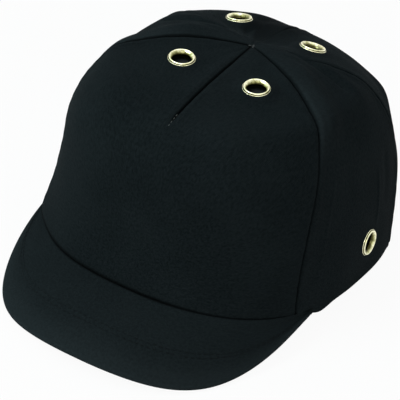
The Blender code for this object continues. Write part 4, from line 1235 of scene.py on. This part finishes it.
def peak_relief(across, out):
    """Height of the peak's cloth: fullness at the crown, waves, and valleys under its stitching."""
    reach = PEAK_REACH * out
    root = PEAK_FULLNESS * ramp(across, *PEAK_FULL_PLACE) - PEAK_SAG * ramp(-across, *PEAK_SAG_PLACE)
    root = root * (1.0 - ramp(out, *PEAK_ROOT))
    groove = -PEAK_HEM_GROOVE * bell(reach, 0.0, PEAK_HEM_WIDTH)
    waves = PEAK_WAVE * ripple(PEAK_WAVE_WIDTH * across, reach, PEAK_WAVE_SIZE, PEAK_WAVE_SEED)
    waves = waves * ramp(out, *PEAK_WAVE_START)
    rows = sum(bell(reach, PEAK_REACH * row, STITCH_VALLEY_WIDTH) for row in PEAK_STITCH_ROWS)
    return np.maximum(root + groove + waves - STITCH_VALLEY * rows, PEAK_DEEPEST)


def stitch_peak():
    """Two rows of stitches that run round the peak in their valleys."""
    across = np.linspace(-PEAK_STITCH_SPAN, PEAK_STITCH_SPAN, 400)
    for number, row in enumerate(PEAK_STITCH_ROWS):
        out = np.full_like(across, row)
        path, up, _ = peak_face(across, out)
        path = path + up * peak_relief(across, out)[:, None]
        sew(f"peak_stitching_{number}", path, up, "crown", BLACK_THREAD, "cap_twill")


def build_peak():
    """Cloth above and below the board, tucked in at the hem and rolled over the edge by quarter turns."""
    bunched = np.sin(np.linspace(-0.5, 0.5, PEAK_COLUMNS) * math.pi * PEAK_BUNCHING)[None, :]
    across = PEAK_SPAN * bunched / bunched[0, -1]
    out = np.concatenate([PEAK_TUCK_OUT, np.linspace(0.0, 1.0, PEAK_ROWS) ** PEAK_ROW_POWER])[:, None]
    tuck = np.maximum(-out, 0.0) * PEAK_REACH
    out = np.maximum(out, 0.0)
    face, normal, edge = peak_face(across, out)
    level_edge = edge * np.array([1.0, 1.0, 0.0])
    face = face - level_edge * tuck[..., None] - normal * (PEAK_TUCK_SLOPE * tuck[..., None])
    radius = peak_radius(across)[..., None]
    middle = face - normal * radius
    lift = peak_relief(across, out)[..., None]
    turns = np.linspace(0.0, 0.5 * math.pi, PEAK_ROLL_STEPS + 1)[1:, None, None]
    # Painted shade at the root, and painted light over the cloth, strongest on the rolled edge.
    sewn_and_painted_shade = np.concatenate([1.0 - ramp(PEAK_REACH * out, *PEAK_HEM_DARK), np.zeros((len(turns), 1))])
    painted_light = PEAK_PAINTED_LIGHT + PEAK_EDGE_PAINTED_LIGHT * ramp(out, *PEAK_EDGE_RUN) ** 2
    painted_light = np.concatenate([painted_light, np.full((len(turns), 1), PEAK_ROLL_PAINTED_LIGHT)])
    for side, sign in (("upper", 1.0), ("under", -1.0)):
        flat = middle + normal * (sign * (radius + lift))
        swell = radius[-1] + lift[-1]
        roll = middle[-1] + swell * (sign * np.cos(turns) * normal[-1] + np.sin(turns) * edge[-1])
        grid = np.concatenate([flat, roll])
        obj = add_grid(f"peak_{side}_cloth", grid, TWILL, flip=sign > 0, marks={"sewn_and_painted_shade": sewn_and_painted_shade, "painted_light": painted_light})
        settle(thicken(obj, PEAK_WALL), "crown", "cap_twill", f"peak_{side}_cover")


# ================================================================ moulded inner shell
SHELL_COLUMNS = 288
SHELL_RISES = (*np.linspace(SHELL_RIM_RISE, 0.95, 62), 0.965, 0.98, 0.99)
SHELL_SHARP = math.radians(35.0)
RIB_RUN_OUT = 0.07
RIM_BEAD, RIM_BEAD_RISE, RIM_BEAD_SPREAD = 0.5 * MM, SHELL_RIM_RISE + 0.012, 0.010
# How far below the crown's face the cutters start and end.
SLOT_CUT = (1.0 * MM, 10.6 * MM)
ARCH_CUT = (-6.0 * MM, 16.0 * MM)
ARCH_CUT_FOOT = -0.05


def mirrored(angles_deg):
    """Angles in radians on both sides of the cap, without repeating the middle and the rear."""
    angles = set(angles_deg) | {-angle for angle in angles_deg if 0.0 < angle < 180.0}
    return [math.radians(angle) for angle in sorted(angles)]


def around_from(angles, middle):
    """Angles measured from a middle, between -180 and 180 degrees."""
    return (angles - middle + math.pi) % (2.0 * math.pi) - math.pi


def shell_depth(angles, rises):
    """Depth of the shell's outer face: cosine ribs along some meridians and a thickened rim."""
    crest = np.zeros(np.broadcast(angles, rises).shape)
    for rib in mirrored(RIB_ANGLES):
        share = np.clip(np.abs(around_from(angles, rib)) / RIB_HALF_ANGLE, 0.0, 1.0)
        crest = np.maximum(crest, 0.5 + 0.5 * np.cos(math.pi * share))
    start, end = RIB_RUN
    window = ramp(rises, start, start + RIB_RUN_OUT) * (1.0 - ramp(rises, end - RIB_RUN_OUT, end))
    bead = RIM_BEAD * bell(rises, RIM_BEAD_RISE, RIM_BEAD_SPREAD)
    return SHELL_DEPTH - RIB_HEIGHT * crest * window - bead


def prism(name, low, high):
    """Closed solid between two rings of points in the cap's frame, used as a cutter: sides and two caps."""
    count = len(low)
    here = np.arange(count)
    after = (here + 1) % count
    sides = np.stack([here, after, after + count, here + count], -1).tolist()
    faces = sides + [here[::-1].tolist(), (here + count).tolist()]
    return add_object(name, np.concatenate([low, high]), faces, SHELL_PLASTIC)


def slot_cutter(angle, rise, length):
    """Round-ended slot through the shell, square to the crown at its seat: two half circles set apart."""
    radius, straight = 0.5 * VENT_WIDTH, 0.5 * (length - VENT_WIDTH)
    turn = full_turn(40)
    upright = np.where(np.sin(turn) >= 0.0, straight, -straight)
    flat = np.stack([radius * np.cos(turn), upright + radius * np.sin(turn)], -1)
    origin, axes = crown_frame(angle, rise)
    rim = origin + flat @ axes[:2]
    return prism("slot_cutter", rim - axes[2] * SLOT_CUT[1], rim - axes[2] * SLOT_CUT[0])


def arch_cutter(half_angle, top_rise):
    """Half-moon at the rear, through the shell: narrow wedges side by side that follow its curve.

    Each section across it is a four-sided strip, from below the rim up to the half-moon's sine.
    """
    turn = np.linspace(0.0, math.pi, 49)[:, None]
    top = np.array([0.0, 0.0, 1.0, 1.0])
    rises = top_rise * np.sin(turn) * top + ARCH_CUT_FOOT * (1.0 - top)
    angles, depths = np.broadcast_arrays(REAR - half_angle * np.cos(turn), np.take(ARCH_CUT, [1, 0, 0, 1]))
    sides = grid_faces(len(turn), 4, wrap_columns=True)[:, ::-1].tolist()
    last = 4 * len(turn) - 1
    ends = [[0, 1, 2, 3], [last, last - 1, last - 2, last - 3]]
    return add_object("arch_cutter", crown_point(angles, rises, depths), sides + ends, SHELL_PLASTIC)


def carve(obj, cutter):
    """Subtract a cutter at once, and remove it."""
    modifier = obj.modifiers.new("cut", "BOOLEAN")
    modifier.operation = "DIFFERENCE"
    modifier.solver = "MANIFOLD"
    modifier.object = cutter
    apply_modifiers(obj)
    bpy.data.objects.remove(cutter, do_unlink=True)


def build_shell():
    """Moulded dome with raised ribs, two rows of vent slots and an arch over the rear opening.

    Its outer and inner faces are the crown at two depths, joined at the rim and closed at the top.
    """
    angles, rises = np.broadcast_arrays(full_turn(SHELL_COLUMNS)[None, :], np.array(SHELL_RISES)[:, None])
    depths = shell_depth(angles, rises)
    outer, inner = crown_point(angles, rises, depths), crown_point(angles, rises, depths + SHELL_WALL)
    rows, columns = angles.shape
    outside = grid_faces(rows, columns, wrap_columns=True)
    foot = np.arange(columns)
    inner_foot = (2 * rows - 1) * columns + foot
    rim = np.stack([inner_foot, np.roll(inner_foot, -1), np.roll(foot, -1), foot], -1)
    caps = [((rows - 1) * columns + foot).tolist(), (rows * columns + foot)[::-1].tolist()]
    faces = np.concatenate([outside, outside + rows * columns, rim]).tolist() + caps
    shell = add_object("inner_shell_moulding", np.concatenate([outer, inner[::-1]]), faces, SHELL_PLASTIC)
    for angle_list, level, length in VENT_ROWS.values():
        for angle in mirrored(angle_list):
            carve(shell, slot_cutter(angle, level, length))
    carve(shell, arch_cutter(SHELL_ARCH_ANGLE, SHELL_ARCH_RISE))
    shell.data.shade_smooth()
    shell.data.set_sharp_from_angle(angle=SHELL_SHARP)
    settle(shell, "insert", "shell_plastic", "inner_shell")


# ================================================================ foam pads and sweatband
# Each pad: angles, lower and upper rise, thickness, and whether it is a closed ring.
PADS = {
    "crown": (full_turn(180), (0.725, 0.935), 7.0 * MM, True),
    "brow": (np.radians(np.linspace(-44.0, 44.0, 90)), (0.175, 0.265), 6.0 * MM, False),
    "nape": (REAR + np.radians(np.linspace(-30.0, 30.0, 70)), (0.27, 0.38), 6.0 * MM, False),
}
# Powers of the sections' superellipses, along the crown and through the pad, and of a pad's round ends.
PAD_SQUARE, BAND_SQUARE, PAD_END_POWER = (0.45, 0.55), (0.5, 0.4), 8
# Square of the share of its section that a pad keeps at its ends.
PAD_END_LEAST = 0.0016
# Dents: their depth, their size, and the radius that turns angles into lengths. A pad has none nearer the
# shell than this share of its thickness.
PAD_DENT, PAD_DENT_SIZE, PAD_RADIUS = 0.25 * MM, 18.0 * MM, 80.0 * MM
BAND_DENT, BAND_DENT_SIZE, BAND_RADIUS = 0.18 * MM, 12.0 * MM, 90.0 * MM
PAD_FLAT_SHARE = 0.3
BAND_CLEARANCE = 0.9 * MM
BAND_NECK_RISE = SHELL_RIM_RISE - 0.012


def pillow(name, angles, rise_span, thick, closed):
    """Crowned pad that follows the crown: its section is a superellipse, drawn in at its two ends."""
    phase = full_turn(40)[None, :]
    share = np.linspace(-1.0, 1.0, len(angles))[:, None]
    ends = np.ones_like(share) if closed else np.sqrt(np.clip(1.0 - share**PAD_END_POWER, PAD_END_LEAST, 1.0))
    across = squared(np.cos(phase), PAD_SQUARE[0]) * ends
    out = squared(np.sin(phase), PAD_SQUARE[1]) * ends
    low, high = rise_span
    rises = 0.5 * (low + high) + 0.5 * (high - low) * across
    depths = PAD_DEPTH + 0.5 * thick * (1.0 - out)
    turn, rises = np.broadcast_arrays(angles[:, None], rises)
    dents = PAD_DENT * ripple(PAD_RADIUS * turn, CLIMB * rises, PAD_DENT_SIZE, 3.0)
    dents = dents * (depths > PAD_DEPTH + PAD_FLAT_SHARE * thick)
    grid = crown_point(turn, rises, depths + dents)
    return add_grid(name, grid, FOAM, wrap_columns=True, wrap_rows=closed)


def build_pads():
    """Foam pads inside the shell: a ring under the crown, a brow pad and a nape pad."""
    for place, plan in PADS.items():
        pad = cap_ends(pillow(f"{place}_pad_foam", *plan))
        settle(pad, "insert", "pad_foam", f"{place}_foam_pad")


def band_depth(rises):
    """Depth of the sweatband's outer face: close to the cloth at the hem, then inside the shell's rim."""
    foot = CLOTH + BAND_CLEARANCE
    share = np.clip((rises - BAND_FOOT_RISE) / (BAND_NECK_RISE - BAND_FOOT_RISE), 0.0, 1.0)
    return foot + (PAD_DEPTH - foot) * share


def build_sweatband():
    """Padded sweatband sewn at the hem, leaning in to pass inside the shell's rim.

    Its section is a tall superellipse round the middle of its rise.
    """
    turn = np.linspace(-BAND_END, BAND_END, 260)[:, None]
    phase = full_turn(60)[None, :]
    middle, half = 0.5 * (BAND_TOP_RISE + BAND_FOOT_RISE), 0.5 * (BAND_TOP_RISE - BAND_FOOT_RISE)
    rises = middle + half * squared(np.cos(phase), BAND_SQUARE[0])
    out = squared(np.sin(phase), BAND_SQUARE[1])
    turn, rises = np.broadcast_arrays(turn, rises)
    dents = BAND_DENT * ripple(BAND_RADIUS * turn, CLIMB * rises, BAND_DENT_SIZE, 1.0)
    depths = band_depth(rises) + 0.5 * BAND_THICK * (1.0 - out) + dents
    grid = crown_point(turn, rises, depths)
    band = cap_ends(add_grid("sweatband_padding", grid, TOWELLING, wrap_columns=True))
    settle(band, "crown", "sweatband_cloth", "sweatband")
    anchor = to_model(crown_point(0.5 * math.pi, 0.0))
    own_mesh(band)


# ================================================================ rear opening and straps
# The hook strap steps out over the tapes from just past its hinge; HINGE_BEND is a short span round the
# hinge.
STEP_START = HINGE_ANGLE + math.radians(0.4)
HINGE_BEND = math.radians(1.2)
HOOK_TIP, LOOP_TIP = REAR + STRAP_LAP, REAR - STRAP_LAP
TAPE_INSET = math.radians(1.0)
HOOK_TAPE_START = REAR - STRAP_LAP + math.radians(5.0)
LOOP_TAPE_START = REAR + OPENING_ANGLE - math.radians(4.0)
STRAP_COLUMNS, STRAP_ROWS, STRAP_BUNCHING = 160, 20, 1.6
# Square of the share of its width that a strap keeps at its tip.
STRAP_TIP_LEAST = 0.02
STRAP_STITCH_RISES = (STRAP_RISE[0] + 0.010, STRAP_RISE[1] - 0.010)
STRAP_STITCH_RUN = (STEP_START + STRAP_STEP_IN, HOOK_TIP - math.radians(5.0))


def strap_rises(angles, tip, direction, margin):
    """Lower and upper rise of a strap, drawn in to a round end at its tip; margin narrows it."""
    half = 0.5 * (STRAP_RISE[1] - STRAP_RISE[0]) - margin
    left = np.clip(direction * (tip - angles) / STRAP_END_ROUND, 0.0, 1.0)
    shape = np.sqrt(np.clip(1.0 - (1.0 - left) ** 2, STRAP_TIP_LEAST, 1.0))
    return STRAP_MIDDLE - half * shape, STRAP_MIDDLE + half * shape


def add_strap(name, start, tip, depth, thick, material, margin=0.0):
    """Strip of webbing or tape along the rear hem, with a firm wall; its columns close up at its tip.

    Its depth is one number or a function of the angle.
    """
    direction = math.copysign(1.0, tip - start)
    even = np.linspace(0.0, 1.0, STRAP_COLUMNS)
    angles = start + (tip - start) * (1.0 - (1.0 - even) ** STRAP_BUNCHING)
    low, high = strap_rises(angles, tip, direction, margin)
    share = np.linspace(0.0, 1.0, STRAP_ROWS)[:, None]
    rises = low * (1.0 - share) + high * share
    angles = np.broadcast_to(angles, rises.shape)
    depths = np.broadcast_to(depth(angles) if callable(depth) else depth, rises.shape)
    grid = crown_point(angles, rises, depths)
    return thicken(add_grid(name, grid[:, ::-1] if direction < 0 else grid, material), thick)


def hook_depth(angles):
    """Depth of the hook strap: at its anchor that of the loop strap, then it steps out over the tapes."""
    step = ramp(angles, STEP_START, STEP_START + STRAP_STEP_IN)
    return STRAP_LAYERS["loop_strap"] * (1.0 - step) + STRAP_LAYERS["hook_strap"] * step


def build_straps():
    """Hook strap, the loop strap that it closes on, and their tapes."""
    anchor = OPENING_EDGE - STRAP_ANCHOR
    hook = add_strap("hook_strap_webbing", anchor, HOOK_TIP, hook_depth, STRAP_THICK, WEBBING)
    apply_modifiers(hook)
    settle(hook, None, "strap_cloth", "hook_strap", "hook_strap_anchor")
    near = to_model(crown_point(HINGE_ANGLE - HINGE_BEND, STRAP_MIDDLE, HINGE_DEPTH))
    far = to_model(crown_point(HINGE_ANGLE + HINGE_BEND, STRAP_MIDDLE, HINGE_DEPTH))
    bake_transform(hook)
    anchor = REAR + OPENING_ANGLE + STRAP_ANCHOR
    loop = add_strap("loop_strap_webbing", anchor, LOOP_TIP, STRAP_LAYERS["loop_strap"], STRAP_THICK, WEBBING)
    settle(loop, "crown", "strap_cloth", "loop_strap")
    tapes = {
        "hook": ("hook_tab", HOOK_TAPE_START, HOOK_TIP - TAPE_INSET, HOOK_FACE),
        "loop": ("crown", LOOP_TAPE_START, LOOP_TIP + TAPE_INSET, LOOP_FACE),
    }
    for kind, (body, start, tip, material) in tapes.items():
        depth = STRAP_LAYERS[f"{kind}_tape"]
        tape = add_strap(f"{kind}_tape_face", start, tip, depth, TAPE_LAYER, material, FASTENER_MARGIN)
        settle(tape, body, f"{kind}_fastener", f"{kind}_tape")
    run = np.linspace(*STRAP_STITCH_RUN, 120)
    for number, rise in enumerate(STRAP_STITCH_RISES):
        rises = np.full_like(run, rise)
        path, normals = crown_point(run, rises, hook_depth(run)), crown_normal(run, rises)
        sew(f"hook_strap_stitching_{number}", path, normals, "hook_tab", BLACK_THREAD, "strap_cloth")


# The binding's section: how far outside the opening's edge, and how deep below the crown's face, in
# millimetres. It runs from the inner leg's end round the fold to the outer leg and back along its inside.
BINDING_SECTION = (
    (6.5, 2.15), (6.3, 1.75), (3.0, 1.62), (0.6, 1.45), (-0.5, 0.9), (-0.7, 0.3), (-0.4, -0.25), (0.6, -0.62),
    (3.0, -0.66), (5.6, -0.60), (6.1, -0.42), (6.0, -0.12), (3.0, -0.14), (0.8, -0.10), (0.1, 0.15),
    (0.0, 0.55), (0.4, 0.98), (1.2, 1.12), (3.0, 1.14), (6.3, 1.16), (6.7, 1.4), (6.8, 1.9),
)
BINDING_STITCH = (4.6, -0.66)
BINDING_TURN = (math.radians(1.5), math.radians(178.5))
REAR_RADIUS = 100.0 * MM


def opening_edge(offset, depth):
    """Half-moon round the rear opening, at an offset outwards along the crown and a depth, in millimetres."""
    turn = np.linspace(*BINDING_TURN, 150)
    wide, high = OPENING_ANGLE + offset * MM / REAR_RADIUS, OPENING_RISE + offset * MM / CLIMB
    return REAR - wide * np.cos(turn), high * np.sin(turn), np.full_like(turn, depth * MM)


def build_binding():
    """Bias binding folded over the rear opening's edge, and its stitches, which stop short of its ends."""
    grid = np.stack([crown_point(*opening_edge(*corner)) for corner in BINDING_SECTION], 1)
    binding = cap_ends(add_grid("opening_binding_tape", grid, SEAM_TAPE, wrap_columns=True))
    settle(binding, "crown", "seam_tape", "opening_binding")
    angles, rises, depths = opening_edge(*BINDING_STITCH)
    keep = slice(6, -6)
    path = crown_point(angles, rises, depths)[keep]
    normals = crown_normal(angles, rises)[keep]
    sew("opening_stitching", path, normals, "crown", BLACK_THREAD, "seam_tape")


# ================================================================ seam tapes inside the crown
TAPE_CLEARANCE = 0.7 * MM
TAPE_WALL = 0.7 * MM
TAPE_CREST, TAPE_CREST_WIDTH = 0.4 * MM, 0.16
# Rises at which a tape may stop, and where the rear one starts above the opening.
TAPE_STOPS = np.linspace(0.5, 0.992, 200)
REAR_TAPE_START = OPENING_RISE + BINDING_RISE + 0.008


def tape_stop(seam, between):
    """Last rise at which a tape keeps clear of its neighbour, which lies this many degrees away."""
    room = 2.0 * crown_radius(seam[1], TAPE_STOPS) * math.sin(0.5 * math.radians(between))
    return TAPE_STOPS[room > TAPE_WIDTH + 2.0 * CURVED_GAP][-1]


def build_tapes():
    """Herringbone tapes over the insides of the dart and the seams, raised inwards along their middles."""
    front, side = math.degrees(FRONT_SEAM[1]), math.degrees(SIDE_SEAM[1])
    plans = {
        "dart_tape": (DART, DART_RISE, front),
        "left_front_seam_tape": (FRONT_SEAM, SHELL_RIM_RISE, front),
        "right_front_seam_tape": (opposite(FRONT_SEAM), SHELL_RIM_RISE, front),
        "left_side_seam_tape": (SIDE_SEAM, SHELL_RIM_RISE, side - front),
        "right_side_seam_tape": (opposite(SIDE_SEAM), SHELL_RIM_RISE, side - front),
        "rear_seam_tape": (REAR_SEAM, REAR_TAPE_START, 180.0 - side),
    }
    across = np.linspace(-0.5, 0.5, 9)[None, :]
    for name, (seam, start, between) in plans.items():
        rise = np.linspace(start, tape_stop(seam, between), 140)[:, None]
        middle = seam_angle(seam, rise)
        angles = middle + across * TAPE_WIDTH / crown_radius(middle, rise)
        depths = CLOTH + TAPE_CLEARANCE + TAPE_CREST * bell(across, 0.0, TAPE_CREST_WIDTH)
        angles, rises, depths = np.broadcast_arrays(angles, rise, depths)
        obj = thicken(add_grid(f"{name}_weave", crown_point(angles, rises, depths), SEAM_TAPE), TAPE_WALL)
        settle(obj, "crown", "seam_tape", name)


# ================================================================ studio
VIEW_ROUND = math.radians(25.711)
VIEW_UP = math.radians(30.770)
VIEW_ROLL = math.radians(9.475)
VIEW_DISTANCE = 1.2105
VIEW_SHIFT = (0.020736, 0.037385)
VIEW_HEIGHT = 0.055
LENS, SENSOR, SIGHT = 190.65, 36.0, 20.0
WHITE = (1.0, 1.0, 1.0)
SKY = (0.95, 0.98, 1.0)
SKY_STRENGTH = 0.08
LAMP_AIM = (0.0, 0.0, 0.05)
# Each lamp: place, side of its square, power and tint.
LAMPS = {
    "key_lamp": ((-0.9, -0.9, 1.5), 1.0, 20.5, (0.85, 0.98, 1.0)),
    "left_lamp": ((-1.6, -0.3, 0.5), 1.2, 5.0, (0.70, 1.0, 0.95)),
    "top_lamp": ((0.0, 0.2, 1.8), 1.4, 5.2, (0.88, 0.98, 1.0)),
    "fill_lamp": ((1.4, -0.8, 0.8), 1.2, 4.2, (1.0, 1.0, 0.90)),
    "front_lamp": ((0.45, -1.3, 1.0), 0.8, 5.5, WHITE),
    "back_lamp": ((-0.2, 1.6, 1.3), 1.2, 0.8, WHITE),
}
FLOOR_HALF = 6.0
FLOOR_GLOW = 0.94


def place_camera():
    """Long lens on the cap's front left, looking down on it, a little rolled."""
    level, climb = math.cos(VIEW_UP), math.sin(VIEW_UP)
    back = np.array([math.sin(VIEW_ROUND) * level, -math.cos(VIEW_ROUND) * level, climb])
    right = np.array([math.cos(VIEW_ROUND), math.sin(VIEW_ROUND), 0.0])
    up = np.cross(back, right)
    cosine, sine = math.cos(VIEW_ROLL), math.sin(VIEW_ROLL)
    rolled = np.stack([right * cosine + up * sine, up * cosine - right * sine, back])
    target = np.array([0.0, 0.0, VIEW_HEIGHT])
    place = target + VIEW_DISTANCE * back - VIEW_SHIFT[0] * rolled[0] - VIEW_SHIFT[1] * rolled[1]
    matrix = np.eye(4)
    matrix[:3, :3] = (rolled @ TURN.T).T
    matrix[:3, 3] = to_model(place)
    data = bpy.data.cameras.new("camera")
    data.lens = LENS
    data.sensor_width = SENSOR
    data.clip_end = SIGHT
    camera = bpy.data.objects.new("camera", data)
    camera.matrix_world = Matrix(matrix.tolist())
    bpy.context.scene.collection.objects.link(camera)
    bpy.context.scene.camera = camera


def add_lamp(name, place, size, power, tint):
    """Square area lamp that looks at the cap."""
    data = bpy.data.lights.new(name, "AREA")
    data.shape = "SQUARE"
    data.size = size
    data.energy = power
    data.color = tint
    lamp = bpy.data.objects.new(name, data)
    place = Vector(place)
    aim = (place - Vector(LAMP_AIM)).to_track_quat("Z", "Y")
    lamp.matrix_world = Matrix.Translation(place) @ aim.to_matrix().to_4x4()
    bpy.context.scene.collection.objects.link(lamp)


def light_studio():
    """Soft key from the upper left, its fills, and an even sky that shows as plain white."""
    world = bpy.data.worlds.new("studio")
    world.use_nodes = True
    bpy.context.scene.world = world
    nodes = Nodes(world.node_tree)
    sky = nodes.node("ShaderNodeBackground", {}, {"Color": (*SKY, 1.0), "Strength": SKY_STRENGTH})
    white = nodes.node("ShaderNodeBackground", {}, {"Color": (*WHITE, 1.0), "Strength": 1.0})
    mixed = nodes.node("ShaderNodeMixShader", {}, {0: nodes.seen_or_mirrored(), 1: sky, 2: white})
    nodes.surface(mixed, "World Output")
    for name, plan in LAMPS.items():
        add_lamp(name, *plan)


def lay_floor():
    """Pale floor: mostly its own white to the camera, and a plain matt white to everything else."""
    finish = Finish("floor", Roughness=0.9, Base_Color=(0.9, 0.9, 0.9, 1.0))
    glow = finish.node("ShaderNodeEmission", {}, {"Color": (*WHITE, 1.0), "Strength": 1.0})
    matt = Wire(finish, finish.shader.outputs[0])
    share = finish.seen_or_mirrored() * FLOOR_GLOW
    mixed = finish.node("ShaderNodeMixShader", {}, {0: share, 1: matt, 2: glow})
    finish.surface(mixed, "Material Output")
    square = [(-1.0, -1.0), (1.0, -1.0), (1.0, 1.0), (-1.0, 1.0)]
    mesh = bpy.data.meshes.new("floor")
    mesh.from_pydata([(FLOOR_HALF * x, FLOOR_HALF * y, 0.0) for x, y in square], [], [(0, 1, 2, 3)])
    mesh.materials.append(finish.material)
    floor = bpy.data.objects.new("floor", mesh)
    bpy.context.scene.collection.objects.link(floor)


# ================================================================ the whole cap
build_panels()
stitch_dart()
build_eyelets()
build_peak()
stitch_peak()
build_shell()
build_pads()
build_sweatband()
build_straps()
build_binding()
build_tapes()
board = frame["nodes"]["peak_board"]
board.data.materials.clear()
board.data.materials.append(BOARD)
place_camera()
light_studio()
lay_floor()
bpy.context.scene.view_settings.view_transform = "Standard"
